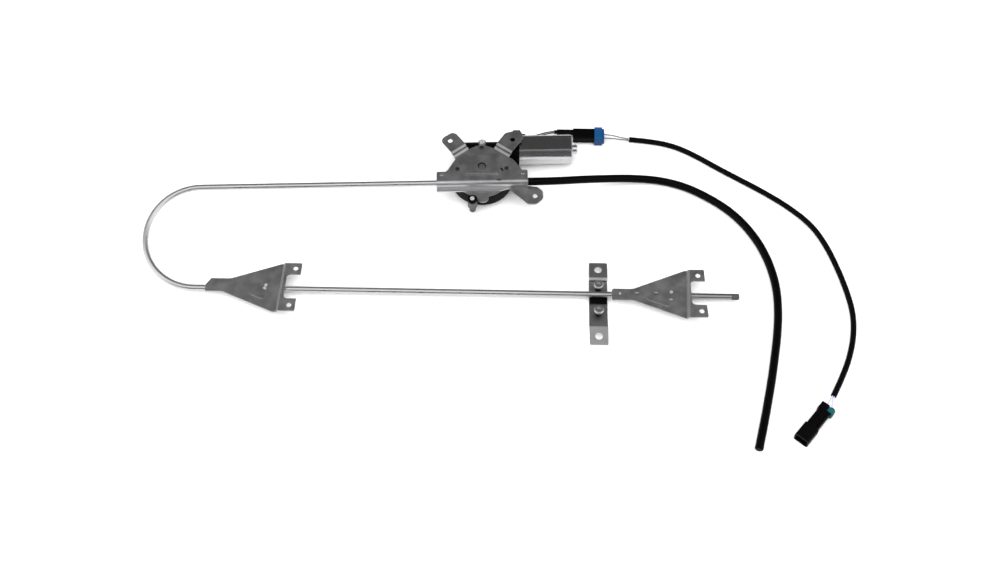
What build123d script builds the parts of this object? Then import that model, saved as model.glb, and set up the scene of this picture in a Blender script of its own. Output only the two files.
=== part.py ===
"""Power window regulator with a geared motor, a helical rack cable in a J-shaped
guide tube, a lift plate that runs on the tube, and a harness with two connectors.

Millimetres.  +X runs along the lower guide run, +Y points from the lift plate to
the drive, +Z points up from the surface that the regulator lies on.
"""
from build123d import *
from math import atan2, cos, degrees, hypot, pi, radians, sin, sqrt, tan
import os

# ---------------------------------------------------------------- driving sizes
# sheet steel, fits and gaps
SHEET = 2.0               # brackets, drive plate, lift plate, arm
RUN_GAP = 0.3             # between pieces that slide or turn on each other
SEAT_GAP = 0.05           # between pieces of one body that sit on each other
CUT = 1.0                 # how far a cutter runs past what it cuts
MOUNT_HOLE_R = 3.3        # M6 clearance holes in the ears and bracket tabs
SHARP = 0.3               # edge break on small steel pieces

# guide tube and rack cable
TUBE_OD = 8.2
TUBE_ID = 6.2
BEND_R = 70.5
UPPER_Z = 33.0            # cable height through the drive
LOWER_Z = 9.0             # cable height along the lower run
LOWER_Y = -82.8
BEND_X = -389.9
TUBE_END_X = 380.0
SLOT_W = 2.6
SLOT_FROM_X = -172.0
SLOT_TO_X = 222.0
END_PLUG_LEN = 10.0
END_SPIGOT_LEN = 8.0
CABLE_CORE_R = 1.2
CABLE_WIND_R = 2.5
CABLE_PITCH = 3.0
RING_W = 1.1
RING_PAIRS = 7            # wound turns modelled on each side of the pinion

# drive: place of the output axis, and its turn about Z
HUB_X = 51.7
HUB_Y = 94.6
DRIVE_TURN = 2.4

# pinion that drives the cable
PINION_TEETH = 40
PINION_ADD = 0.42
PINION_DED = 0.85
PINION_FACE = 5.2
PINION_BACKLASH = 0.35
PITCH_LINE = 1.9          # from the cable axis to its pitch line
SHAFT_R = 9.0
STUB_R = 4.4
STUB_TOP_Z = 41.2
AXLE_R = 3.0
AXLE_GAP = 0.15

# worm and wheel
MODULE = 1.25
WHEEL_TEETH = 54
WORM_PITCH_R = 6.25
GEAR_ADD = 1.1
GEAR_DED = 1.45
PRESSURE = 20.0
GEAR_BACKLASH = 0.3
WHEEL_FACE = 10.0
WORM_TURNS = 6
WORM_PHASE = 180.0          # turn of the thread about the motor's axis
MOTOR_Z = 20.0
WHEEL_WEB = 6.0
WHEEL_HUB_R = 8.6
DAMPER_R = 20.0
DAMPER_H = 4.5

# gear housing
HOUSING_FOOT_R = 33.0
HOUSING_FOOT_H = 10.0
HOUSING_WALL = 4.0
WHEEL_ROOM = 3.15         # between the wheel's teeth and the chamber's wall
HOUSING_FLOOR = 5.0
HOUSING_TOP_Z = 26.6
COVER_T = 1.6
TUNNEL_R = 12.0
TUNNEL_LEFT = -31.0
COLLAR_FROM = 40.0
COLLAR_R = 21.3
BOSS_R = 5.6
FRONT_BOSS_R = 6.3        # the front boss stands through the lid
FRONT_BOSS_TOP = 31.0
BUSHING_R = 4.3           # steel bushing under the front boss
BUSHING_LOW_Z = 5.0
BUSHING_TOP_Z = 15.0
SCREW_R = 2.0
SCREW_HEAD_R = 4.0
BOSS_PLACES = ((1.0, 47.2), (-13.6, -45.8), (46.6, -6.0))
SCREW_LENGTHS = (3.8, 13.0, 13.0)
SCREW_HEADS = (4.0, 3.0, 4.0)
POST_R = 3.6
POST_PLACES = ((0.0, 31.2), (-33.0, -3.5), (33.0, -3.5))
LOBE_PLACE = (0.5, -41.5)
LOBE_R = 8.0

# motor
CAN_R = 20.0
CAN_FLAT = 16.5
CAN_WALL = 1.7
CAN_FROM = 51.0
CAN_TO = 123.4
CAN_EDGE = 2.6
CAN_BOSS_R = 6.4
CAN_BOSS_TO = 131.0
MAGNET_OUT_R = 18.1
MAGNET_IN_R = 14.2
MAGNET_FROM = 66.0
MAGNET_TO = 112.0
MAGNET_SPREAD = 52.0
CORE_R = 13.4
CORE_FROM = 71.0
CORE_TO = 105.0
CORE_SLOTS = 8
CORE_SLOT_W = 2.4
CORE_SLOT_D = 6.0
MOTOR_SHAFT_R = 3.0
COMM_R = 6.0
COMM_FROM = 53.5
COMM_TO = 62.5
BRUSH = (6.0, 5.0, 7.0)

# drive plate
PLATE_TOP = 39.5
EAR_TOP = 44.5
PAN_TOP = 42.0
PLATE_HALF = 61.0         # half the length of the channel along the cable
CHANNEL_R = 4.5           # inner radius of the curl over the tube
FLANGE_TOP = 30.4
FLANGE_OUT = 11.6         # from the cable axis to the flange's free edge
EAR_TURN = 54.0           # direction of the right ear, from +X
EAR_HOLE = (42.3, 40.4)
EAR_LOW = -23.7           # lower bend, along the ear from its hole
EAR_HIGH = -16.1          # upper bend
EAR_STEP = 2.2            # run of each of the two steps between the bends
PAN_HALF = 22.5
PAN_LOW_Y = -13.0
PAN_TOP_Y = 19.4
HUB_HOLE_R = 5.7
ARM_HOLE = (70.2, -41.2)
STRAP_W = 10.0
STRAP_T = 1.4
STRAP_X = 54.5
RIVET_R = 2.4

# brackets on the lower run, Y counted from the tube axis
BRACKET_JOGGLE = 3.4
BRACKET_RAMP = 3.0

# lift plate and what rides with it, Y counted from the tube axis
LIFT_X = 207.5
LIFT_W = 24.0
LIFT_RISE = 7.0
LIFT_RAMP = 2.6
LIFT_TOP_BEND = 25.7
LIFT_LOW_BEND = -46.7
LIFT_TOP = 47.8
LIFT_LOW = -74.3
LIFT_HOLE_R = 4.9
LIFT_HOLE_HIGH = 37.4
LIFT_HOLE_LOW = -61.6
SHOE_LEN = 22.0
SHOE_LOW = -10.5
SHOE_TOP = 4.6
SHOE_LIP_Z = 6.4
TONGUE_W = 2.0
TONGUE_LEN = 14.0
FERRULE_R = 2.8
FERRULE_LEN = 20.0
STUD_PLACES = (11.1, -26.2)
STUD_R = 2.4
SPACER_TOP_R = 5.6
SPACER_FOOT_R = 3.2
SPACER_TOP_Z = 13.6
STUD_HEAD_R = 6.2
STUD_HEAD_TOP = 17.2
STUD_SOCKET_R = 2.9

# spare cable tube (black hose) and its steel sleeve
HOSE_OD = 10.7
HOSE_ID = 8.6
SLEEVE_FROM = 24.0
SLEEVE_TO = 76.0
HOSE_FROM = PLATE_HALF + 0.4
HOSE_CAP_LEN = 7.0
HOSE_POINTS = (
    (186.0, 85.6, 26.4), (222.0, 94.4, 16.8), (258.0, 101.4, 8.2),
    (294.0, 100.6, 5.45), (325.7, 91.7, 5.45), (354.3, 76.4, 5.45), (382.6, 55.9, 5.45),
    (404.4, 32.0, 5.45), (422.7, 1.6, 5.45), (434.7, -31.8, 5.45), (440.8, -68.1, 5.45),
    (440.0, -105.0, 5.45), (435.9, -138.9, 5.45), (430.2, -170.3, 5.45),
    (424.3, -201.2, 5.45), (417.5, -231.6, 5.45), (410.6, -261.5, 5.45),
    (403.4, -290.0, 5.45))

# harness
WIRE_R = 0.9
SLEEVE_OD = 7.4
SLEEVE_Z = SLEEVE_OD / 2 + 0.05
HARNESS_POINTS = (
    (253.7, 169.6), (281.0, 167.2), (313.7, 160.2), (342.7, 145.0), (371.9, 124.8),
    (400.5, 106.6), (431.7, 86.9), (465.2, 62.7), (494.9, 33.8), (512.0, 0.9),
    (524.0, -35.9), (533.0, -71.9), (537.3, -104.2), (534.3, -136.1), (525.6, -167.6),
    (512.9, -197.0), (500.5, -221.0))
PLUG_A_X = 175.6          # joint face between the two halves of the first connector
PLUG_A_Y = 171.5
PLUG_A_Z = 8.5
PLUG_A_BODY = 29.4
PLUG_HALF_LEN = 22.2
PLUG_SEAL_LEN = 13.6
PLUG_W = 16.6
PLUG_H = 13.0
SEAL_W = 22.0
SEAL_H = 16.8
GROMMET_PLACE = (56.0, 65.6, 15.5)
PLUG_B_REAR = (491.5, -238.5)
PLUG_B_TURN = -129.3
PLUG_B_BODY = 29.0
PLUG_B_SEAL = 8.5
PLUG_B_CAP = (-9.8, 1.4)   # across the rear: the black cap, then the coloured seal
PLUG_B_SEAL_W = 9.4
SHROUD_LEN = 24.0
SHROUD_W = 20.0
SHROUD_H = 15.6
SHROUD_WALL = 1.9
SHROUD_DEPTH = 18.0
TERMINAL = (14.0, 2.2, 0.8)

# ---------------------------------------------------------------- worked out
PINION_R = PINION_TEETH * CABLE_PITCH / (2 * pi)
CHAMBER_R = MODULE * WHEEL_TEETH / 2 + GEAR_ADD + WHEEL_ROOM
HOUSING_R = CHAMBER_R + HOUSING_WALL
CABLE_Y = -(PINION_R + PITCH_LINE)
WHEEL_R = MODULE * WHEEL_TEETH / 2
WORM_Y = WHEEL_R + WORM_PITCH_R
LEAD = pi * MODULE
PLATE_LOW = PLATE_TOP - SHEET
COVER_TOP = HOUSING_TOP_Z + COVER_T
TUBE_R = TUBE_OD / 2
TUBE_TOP = LOWER_Z + TUBE_R
TUBE_LOW = LOWER_Z - TUBE_R
BRACKET_Z = TUBE_TOP + SEAT_GAP
WHEEL_LOW = MOTOR_Z - WHEEL_FACE / 2
WHEEL_HIGH = MOTOR_Z + WHEEL_FACE / 2
SCREW_SEATS = (COVER_TOP + 1.2, FRONT_BOSS_TOP, COVER_TOP)
DRIVE = Location((HUB_X, HUB_Y, 0), (0, 0, DRIVE_TURN))
ORIGIN = Location((2.0, -4.6, 0))     # puts the origin under the middle of the regulator
MOTOR = DRIVE * Location(Plane(origin=(0, WORM_Y, MOTOR_Z), x_dir=(0, 1, 0), z_dir=(1, 0, 0)))


# ---------------------------------------------------------------- small helpers
def drive_point(x, y, z):
    """A point of the drive, in the regulator's frame."""
    turn = radians(DRIVE_TURN)
    return Vector(HUB_X + x * cos(turn) - y * sin(turn), HUB_Y + x * sin(turn) + y * cos(turn), z)


def disc(radius, low, high, x=0.0, y=0.0):
    """An upright cylinder from one height to another."""
    return Pos(x, y, (low + high) / 2) * Cylinder(radius, high - low)


def rod(radius, start, end, y=0.0, z=0.0):
    """A cylinder along X."""
    return Pos((start + end) / 2, y, z) * Rot(0, 90, 0) * Cylinder(radius, end - start)


def block(x0, x1, y0, y1, z0, z1):
    """A box given by its faces."""
    return Pos((x0 + x1) / 2, (y0 + y1) / 2, (z0 + z1) / 2) * Box(x1 - x0, y1 - y0, z1 - z0)


def prism(points, low, high):
    """An outline in X and Y, raised between two heights."""
    face = make_face(Polyline(*points, close=True))
    return Pos(0, 0, low) * extrude(face, high - low)


def soften(body, radius, axis=Axis.Z):
    """Round the edges along one axis."""
    return fillet(body.edges().filter_by(axis), radius)


def round_corner(body, x, y, radius):
    """Round the upright edge nearest a corner of an outline."""
    edge = min(body.edges().filter_by(Axis.Z), key=lambda e: hypot(e.center().X - x, e.center().Y - y))
    return fillet(edge, radius)


def washer(outer, inner, low, high, x=0.0, y=0.0):
    """A flat ring."""
    return disc(outer, low, high, x, y) - disc(inner, low - CUT, high + CUT, x, y)


def gather(solids):
    """Separate solids of one node."""
    flat = []
    for item in solids:
        flat.extend(item.solids())
    return Compound(flat)


def pipe(points, radii, outer, inner=None):
    """A tube along straight runs joined by arcs."""
    path = FilletPolyline(*points, radius=radii)
    start = Plane(origin=path @ 0, z_dir=path % 0)
    body = sweep(start * Circle(outer), path=path)
    if inner is None:
        return body
    return body - sweep(start * Circle(inner), path=path)


def cord_radii(points):
    """The largest arcs that a cord's runs allow, one for each corner."""
    corners = []
    for before, here, after in zip(points, points[1:], points[2:]):
        first, second = Vector(*here) - Vector(*before), Vector(*after) - Vector(*here)
        turn = first.get_angle(second)
        corners.append(0.45 * min(first.length, second.length) / tan(radians(turn / 2)))
    return corners


def cord(name, points, outer, inner=None):
    """A cord's tube, with its radii printed."""
    radii = cord_radii(points)
    runs = [(Vector(*b) - Vector(*a)).length for a, b in zip(points, points[1:])]
    print(name, "least radius", round(min(radii), 1), "runs", [round(r) for r in runs])
    return pipe(points, radii, outer, inner)


# ---------------------------------------------------------------- guide tube and cable
def run_line_y(x):
    """Y of the upper run at a given X, in the regulator's frame."""
    start = drive_point(0, CABLE_Y, UPPER_Z)
    return start.Y + (x - start.X) * tan(radians(DRIVE_TURN))


def tube_route(start, end_x):
    """The J: along the upper run, round the bend and along the lower run."""
    return [start, Vector(BEND_X, run_line_y(BEND_X), UPPER_Z), Vector(BEND_X, LOWER_Y, LOWER_Z),
            Vector(end_x, LOWER_Y, LOWER_Z)]


def make_guide_tube():
    route = tube_route(drive_point(-SLEEVE_FROM, CABLE_Y, UPPER_Z), TUBE_END_X)
    tube = pipe(route, [BEND_R, BEND_R], TUBE_R, TUBE_ID / 2)
    slot = block(SLOT_FROM_X, SLOT_TO_X, LOWER_Y - SLOT_W / 2, LOWER_Y + SLOT_W / 2,
                 TUBE_LOW - CUT, LOWER_Z - TUBE_ID / 4)
    return tube - slot


def make_end_plug():
    head = rod(TUBE_R, TUBE_END_X, TUBE_END_X + END_PLUG_LEN, LOWER_Y, LOWER_Z)
    head = chamfer(head.faces().sort_by(Axis.X)[-1].edges(), 1.0)
    spigot = rod(TUBE_ID / 2 - SEAT_GAP, TUBE_END_X - END_SPIGOT_LEN, TUBE_END_X, LOWER_Y, LOWER_Z)
    return head + spigot


def make_rack_cable():
    """Core wire from the lift plate's ferrule to the spare tube, wound where it meets the pinion."""
    end = LIFT_X - FERRULE_LEN / 2 - RUN_GAP
    tail = drive_point(SLEEVE_TO - 4, CABLE_Y, UPPER_Z)
    core = pipe(tube_route(tail, end), [BEND_R, BEND_R], CABLE_CORE_R)
    foot = rod(CABLE_WIND_R, end - 12, end, LOWER_Y, LOWER_Z)
    rings = []
    for number in range(-RING_PAIRS, RING_PAIRS + 1):
        x = number * CABLE_PITCH
        ring = rod(CABLE_WIND_R, x - RING_W / 2, x + RING_W / 2, CABLE_Y, UPPER_Z)
        rings.append(DRIVE * chamfer(ring.edges().filter_by(GeomType.CIRCLE), 0.25))
    return core.fuse(foot, *rings)


# ---------------------------------------------------------------- gears
def tooth_ring(teeth, pitch_r, add, ded, half_pitch, slope):
    """Outline of a gear with straight-flanked teeth, one centred on +Y."""
    points = []
    tip = half_pitch - add * slope
    root = half_pitch + ded * slope
    for number in range(teeth):
        middle = pi / 2 + 2 * pi * number / teeth
        for radius, half in ((pitch_r - ded, root), (pitch_r + add, tip),
                             (pitch_r + add, -tip), (pitch_r - ded, -root)):
            angle = middle - half / radius
            points.append((radius * cos(angle), radius * sin(angle)))
    return make_face(Polyline(*points, close=True))


def make_worm_wheel():
    half = LEAD / 4 - GEAR_BACKLASH / 2
    face = tooth_ring(WHEEL_TEETH, WHEEL_R, GEAR_ADD, GEAR_DED, half, tan(radians(PRESSURE)))
    twist = degrees(WHEEL_FACE * MODULE / (2 * WORM_PITCH_R) / WHEEL_R)
    low = Pos(0, 0, WHEEL_LOW) * Rot(0, 0, -twist / 2) * face
    wheel = Solid.extrude_linear_with_rotation(low.face(), (0, 0, WHEEL_LOW), (0, 0, WHEEL_FACE), twist)
    wheel -= disc(WHEEL_R - 5.5, WHEEL_LOW + WHEEL_WEB, WHEEL_HIGH + CUT)
    wheel += washer(DAMPER_R + 2.4, DAMPER_R, WHEEL_LOW + WHEEL_WEB, WHEEL_HIGH)
    wheel -= disc(AXLE_R + AXLE_GAP, WHEEL_LOW - CUT, WHEEL_HIGH + CUT)
    return DRIVE * wheel


def make_damper():
    """Rubber ring with three pockets between the wheel and the pinion's flange."""
    low = WHEEL_LOW + WHEEL_WEB + SEAT_GAP
    ring = washer(DAMPER_R - SEAT_GAP, SHAFT_R + SEAT_GAP, low, low + DAMPER_H)
    for turn in (90, 210, 330):
        ring -= Rot(0, 0, turn) * block(14.0, 18.0, -3.0, 3.0, low + 2.5, low + DAMPER_H + CUT)
    return DRIVE * ring


def make_pinion():
    half = CABLE_PITCH / 2 - RING_W / 2 - PINION_BACKLASH / 2
    face = tooth_ring(PINION_TEETH, PINION_R, PINION_ADD, PINION_DED, half / 1.0, 0.25)
    low, high = UPPER_Z - PINION_FACE / 2, UPPER_Z + PINION_FACE / 2
    turned = Rot(0, 0, 180.0 / PINION_TEETH) * face
    gear = Pos(0, 0, low) * extrude(turned, PINION_FACE)
    shaft = disc(SHAFT_R, WHEEL_LOW + WHEEL_WEB + SEAT_GAP, low + SEAT_GAP)
    stub = chamfer(disc(STUB_R, high - SEAT_GAP, STUB_TOP_Z).faces().sort_by(Axis.Z)[-1].edges(), 0.6)
    bore = disc(AXLE_R + AXLE_GAP, WHEEL_LOW, HOUSING_TOP_Z + CUT)
    holes = [disc(2.6, low - CUT, high + CUT, 13.2 * cos(a), 13.2 * sin(a))
             for a in (radians(t) for t in range(30, 390, 60))]
    pinion = gear + shaft + stub - bore
    for hole in holes:
        pinion -= hole
    return DRIVE * pinion


def make_axle():
    pin = disc(AXLE_R, HOUSING_FLOOR - 3.0, HOUSING_TOP_Z)
    return DRIVE * chamfer(pin.edges().filter_by(GeomType.CIRCLE), 0.4)


# ---------------------------------------------------------------- motor
def make_worm_shaft():
    """Armature shaft with the single-start worm cut on it."""
    half = LEAD / 4 - GEAR_BACKLASH / 2
    slope = tan(radians(PRESSURE))
    root, tip = WORM_PITCH_R - GEAR_DED, WORM_PITCH_R + GEAR_ADD
    crest, base = half - GEAR_ADD * slope, half + GEAR_DED * slope
    # section across the worm: radius against the axial distance from the thread's middle
    stations = [(-crest, tip), (-crest / 2, tip), (0, tip), (crest / 2, tip), (crest, tip),
                ((crest + half) / 2, (tip + WORM_PITCH_R) / 2), (half, WORM_PITCH_R),
                ((base + half) / 2, (root + WORM_PITCH_R) / 2), (base, root)]
    rest = LEAD - 2 * base
    stations += [(base + rest * n / 9, root) for n in range(1, 9)]
    stations += [(-base, root), (-(base + half) / 2, (root + WORM_PITCH_R) / 2), (-half, WORM_PITCH_R),
                 (-(crest + half) / 2, (tip + WORM_PITCH_R) / 2)]
    # the thread faces the wheel at the middle of the worm, where the wheel has a gap
    points = [(r * cos(-2 * pi * s / LEAD), r * sin(-2 * pi * s / LEAD)) for s, r in stations]
    length = (WORM_TURNS - 1) * LEAD
    section = Rot(0, 0, WORM_PHASE) * make_face(Polyline(*points, close=True))
    thread = Solid.extrude_linear_with_rotation(section.face(), (0, 0, 0), (0, 0, length), 360.0 * (WORM_TURNS - 1))
    worm = Pos(0, 0, -length / 2) * thread
    shaft = disc(MOTOR_SHAFT_R, TUNNEL_LEFT + 5.0, CAN_BOSS_TO - 3.0)
    shaft = chamfer(shaft.edges().filter_by(GeomType.CIRCLE), 0.5)
    neck = disc(root, -length / 2 - 1.5, -length / 2 + 0.01) + disc(root, length / 2 - 0.01, length / 2 + 1.5)
    return MOTOR * (shaft + neck + worm)


def can_section(radius, flat):
    """Round section with two flats, in the plane across the motor."""
    return Circle(radius) & Rectangle(4 * radius, 2 * flat)


def make_motor_can():
    length = CAN_TO - CAN_FROM
    # in the motor's frame X is across, Y is up, Z is along the shaft
    outer = Pos(0, 0, CAN_FROM) * extrude(can_section(CAN_R, CAN_FLAT), length)
    outer = fillet(outer.faces().sort_by(Axis.Z)[-1].edges(), CAN_EDGE)
    inner = extrude(can_section(CAN_R - CAN_WALL, CAN_FLAT - CAN_WALL), length - CAN_WALL)
    boss = disc(CAN_BOSS_R, CAN_TO - CAN_WALL, CAN_BOSS_TO)
    boss = fillet(boss.faces().sort_by(Axis.Z)[-1].edges(), 1.8)
    can = outer + boss - Pos(0, 0, CAN_FROM) * inner
    can -= disc(CAN_BOSS_R - 1.4, CAN_TO - CAN_WALL - CUT, CAN_BOSS_TO - 1.4)
    return MOTOR * can


def make_magnets():
    both = []
    for side in (0, 180):
        arc = washer(MAGNET_OUT_R, MAGNET_IN_R, MAGNET_FROM, MAGNET_TO)
        reach = 2 * MAGNET_OUT_R
        spread = radians(MAGNET_SPREAD)
        wedge = prism([(0, 0), (reach * cos(spread), reach * sin(spread)),
                       (reach * cos(spread), -reach * sin(spread))], MAGNET_FROM - CUT, MAGNET_TO + CUT)
        level = Pos(0, 0, (MAGNET_FROM + MAGNET_TO) / 2) * Box(
            4 * CAN_R, 2 * (CAN_FLAT - CAN_WALL - 0.2), 2 * (MAGNET_TO - MAGNET_FROM))
        both.append(MOTOR * Rot(0, 0, side) * (arc & wedge & level))
    return gather(both)


def core_slots(width, inside, outside, low, high):
    """Slots round the armature core, as cutters or as the wire that fills them."""
    return [Rot(0, 0, 360 * n / CORE_SLOTS) * block(inside, outside, -width / 2, width / 2, low, high)
            for n in range(CORE_SLOTS)]


def make_armature_core():
    core = washer(CORE_R, MOTOR_SHAFT_R + SEAT_GAP, CORE_FROM, CORE_TO)
    for slot in core_slots(CORE_SLOT_W, CORE_R - CORE_SLOT_D, CORE_R + CUT, CORE_FROM - CUT, CORE_TO + CUT):
        core -= slot
    return MOTOR * core


def make_windings():
    wound = washer(11.6, 6.6, CORE_FROM - 7.0, CORE_FROM - SEAT_GAP)
    wound += washer(11.6, 6.6, CORE_TO + SEAT_GAP, CORE_TO + 7.0)
    wound = fillet(wound.edges().filter_by(GeomType.CIRCLE), 1.5)
    bars = core_slots(CORE_SLOT_W - 0.4, CORE_R - CORE_SLOT_D + 0.4, CORE_R - 1.4, CORE_FROM - 1.0, CORE_TO + 1.0)
    return MOTOR * wound.fuse(*bars)


def make_commutator():
    ring = washer(COMM_R, MOTOR_SHAFT_R + SEAT_GAP, COMM_FROM, COMM_TO)
    for number in range(CORE_SLOTS):
        ring -= Rot(0, 0, 360 * number / CORE_SLOTS) * block(
            COMM_R - 1.0, COMM_R + CUT, -0.3, 0.3, COMM_FROM - CUT, COMM_TO - 1.5)
    return MOTOR * ring


def make_brush_card():
    card = Pos(0, 0, CAN_FROM + 0.4) * extrude(can_section(CAN_R - CAN_WALL - 0.3, CAN_FLAT - CAN_WALL - 0.3), 2.2)
    card -= disc(COMM_R + 2.0, CAN_FROM - CUT, CAN_FROM + 6)
    length, width, depth = BRUSH
    for side in (-1, 1):
        near = side * (COMM_R + RUN_GAP + 1.6)
        far = side * (COMM_R + RUN_GAP + depth + 1.6)
        holder = block(min(near, far), max(near, far), -width / 2 - 1.2, width / 2 + 1.2,
                       CAN_FROM + 2.6 - SEAT_GAP, CAN_FROM + 4.0 + length + 1.0)
        slide = block(min(near, far) - CUT, max(near, far) + CUT, -width / 2 - 0.1, width / 2 + 0.1,
                      CAN_FROM + 3.9, CAN_FROM + 4.1 + length)
        card = card + holder - slide
    return MOTOR * card


def make_brushes():
    length, width, depth = BRUSH
    pair = []
    for side in (-1, 1):
        near = side * (COMM_R + RUN_GAP)
        far = side * (COMM_R + RUN_GAP + depth)
        pair.append(MOTOR * block(min(near, far), max(near, far), -width / 2, width / 2,
                                  CAN_FROM + 4.0, CAN_FROM + 4.0 + length))
    return gather(pair)


def make_bearing(outer, low, high):
    """A sintered bush round the motor shaft."""
    bush = washer(outer, MOTOR_SHAFT_R + 0.1, low, high)
    return MOTOR * chamfer(bush.edges().filter_by(GeomType.CIRCLE), 0.35)


def make_thrust_pad():
    return MOTOR * disc(MOTOR_SHAFT_R, TUNNEL_LEFT + 3.2, TUNNEL_LEFT + 5.0 - 0.1)


# ---------------------------------------------------------------- gear housing
def make_gear_housing():
    """Black moulded case: a tapered bowl, the worm tunnel, the motor collar and screw bosses."""
    profile = make_face(Polyline((0, 0), (HOUSING_FOOT_R, 0), (HOUSING_R, HOUSING_FOOT_H),
                                 (HOUSING_R, HOUSING_TOP_Z), (0, HOUSING_TOP_Z), close=True))
    bowl = revolve(Plane.XZ * profile, Axis.Z)
    tunnel = rod(TUNNEL_R, TUNNEL_LEFT, COLLAR_FROM + CUT, WORM_Y, MOTOR_Z)
    tunnel = fillet(tunnel.faces().sort_by(Axis.X)[0].edges(), 3.0)
    flare = Pos(COLLAR_FROM - 4, WORM_Y, MOTOR_Z) * Rot(0, 90, 0) * Cone(TUNNEL_R, COLLAR_R - 3, 8.0)
    collar = rod(COLLAR_R, COLLAR_FROM, CAN_FROM, WORM_Y, MOTOR_Z) & block(
        COLLAR_FROM - CUT, CAN_FROM + CUT, WORM_Y - 30, WORM_Y + 30,
        MOTOR_Z - CAN_FLAT - 0.8, MOTOR_Z + CAN_FLAT + 0.7)
    case = bowl + tunnel + flare + collar
    # lump at the back of the collar for the wire exit
    gx, gy, gz = GROMMET_PLACE
    case += soften(block(COLLAR_FROM + 3, gx - 2, WORM_Y + 12, gy + 5.2, gz - 6.0, gz + 9.0), 2.5)
    case -= rod(CAN_R + SEAT_GAP, CAN_FROM, CAN_TO, WORM_Y, MOTOR_Z)
    for x, y in BOSS_PLACES:
        case += disc(BOSS_R, BUSHING_TOP_Z + SEAT_GAP, HOUSING_TOP_Z, x, y)
        case += prism_between(x, y, 2.4, 15.0, HOUSING_TOP_Z)
    # wheel chamber, worm bore, motor mouth
    case -= disc(CHAMBER_R, HOUSING_FLOOR + 5.0, HOUSING_TOP_Z + CUT)
    case -= disc(HOUSING_FOOT_R - HOUSING_WALL, HOUSING_FLOOR, HOUSING_TOP_Z)
    case -= rod(WORM_PITCH_R + GEAR_ADD + 0.9, TUNNEL_LEFT + 11.0, COLLAR_FROM - 1.0, WORM_Y, MOTOR_Z)
    case -= rod(MOTOR_SHAFT_R + 2.4, TUNNEL_LEFT + 3.0, COLLAR_FROM + 6.0, WORM_Y, MOTOR_Z)
    case -= rod(7.0, COLLAR_FROM + 1.0, CAN_FROM + CUT, WORM_Y, MOTOR_Z)
    case -= rod(CAN_R - 4.5, CAN_FROM - 2.0, CAN_FROM + CUT, WORM_Y, MOTOR_Z)
    # centre post for the axle
    case += disc(7.0, HOUSING_FLOOR - CUT, WHEEL_LOW - RUN_GAP)
    case -= disc(AXLE_R + SEAT_GAP, HOUSING_FLOOR - 3.0, WHEEL_LOW)
    case += disc(FRONT_BOSS_R, BUSHING_TOP_Z + SEAT_GAP, FRONT_BOSS_TOP, *BOSS_PLACES[1])
    case -= ear_plate(*BOSS_PLACES[0], SEAT_GAP, COVER_TOP - 0.4 - SEAT_GAP, COVER_TOP + 12)
    for (x, y), seat, length in zip(BOSS_PLACES, SCREW_SEATS, SCREW_LENGTHS):
        case -= disc(SCREW_R, seat - length - 0.3, seat + CUT, x, y)
    return DRIVE * case


def ear_plate(x, y, grow, low, high):
    """The lid's raised ear at a screw, with its web back to the lid."""
    web = Rot(0, 0, degrees(atan2(y, x))) * block(30.0 - grow, hypot(x, y), 0.8 - BOSS_R - grow, BOSS_R - 0.8 + grow, low, high)
    return disc(BOSS_R - 0.2 + grow, low, high, x, y) + web


def prism_between(x, y, half, low, high):
    """A web from a screw boss to the bowl."""
    turn = degrees(atan2(y, x))
    return Rot(0, 0, turn) * block(HOUSING_R - 6.0, hypot(x, y), -half, half, low, high)


def make_housing_cover():
    """Steel lid with an ear at each screw boss, a front lobe and posts that carry the plate."""
    lid = disc(HOUSING_R - 1.0, HOUSING_TOP_Z, COVER_TOP)
    for x, y in BOSS_PLACES + (LOBE_PLACE,):
        radius = LOBE_R if (x, y) == LOBE_PLACE else BOSS_R - 0.2
        if y < WORM_Y and (x, y) != BOSS_PLACES[1]:
            lid += disc(radius, HOUSING_TOP_Z, COVER_TOP, x, y)
            lid += prism_between(x, y, radius - 0.6, HOUSING_TOP_Z, COVER_TOP)
    lid -= disc(SHAFT_R + 3.0, HOUSING_TOP_Z - CUT, COVER_TOP + CUT)
    lid -= disc(FRONT_BOSS_R + SEAT_GAP, HOUSING_TOP_Z - CUT, COVER_TOP + CUT, *BOSS_PLACES[1])
    for x, y in POST_PLACES:
        lid += disc(POST_R, HOUSING_TOP_Z + 0.6, PLATE_LOW, x, y)
    lid -= rod(TUNNEL_R + SEAT_GAP, TUNNEL_LEFT - CUT, CAN_FROM, WORM_Y, MOTOR_Z)
    lid += ear_plate(*BOSS_PLACES[0], 0, COVER_TOP - 0.4, COVER_TOP + 1.2)
    lid -= block(COLLAR_FROM - 5.0, CAN_FROM + CUT, WORM_Y - 30, WORM_Y + 30, HOUSING_TOP_Z - CUT, COVER_TOP + CUT)
    for x, y in BOSS_PLACES:
        lid -= disc(SCREW_R + 0.2, HOUSING_TOP_Z - CUT, COVER_TOP + 2, x, y)
    for x, y in POST_PLACES:
        lid -= disc(SCREW_R, COVER_TOP + 1.0, PLATE_LOW + CUT, x, y)
    return DRIVE * lid


def screw(x, y, seat, length, head_r=SCREW_HEAD_R, head_h=2.6):
    """A pan-head screw with a hexagon socket, head up."""
    head = disc(head_r, seat, seat + head_h, x, y)
    head = fillet(head.faces().sort_by(Axis.Z)[-1].edges(), head_h * 0.4)
    socket = Pos(x, y, seat + head_h - 1.2) * extrude(RegularPolygon(head_r * 0.5, 6), 2)
    return head + disc(SCREW_R - 0.05, seat - length, seat + SEAT_GAP, x, y) - socket


def make_cover_screws():
    return gather([DRIVE * screw(x, y, seat, length, head)
                   for (x, y), seat, length, head in zip(BOSS_PLACES, SCREW_SEATS, SCREW_LENGTHS, SCREW_HEADS)])


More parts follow.
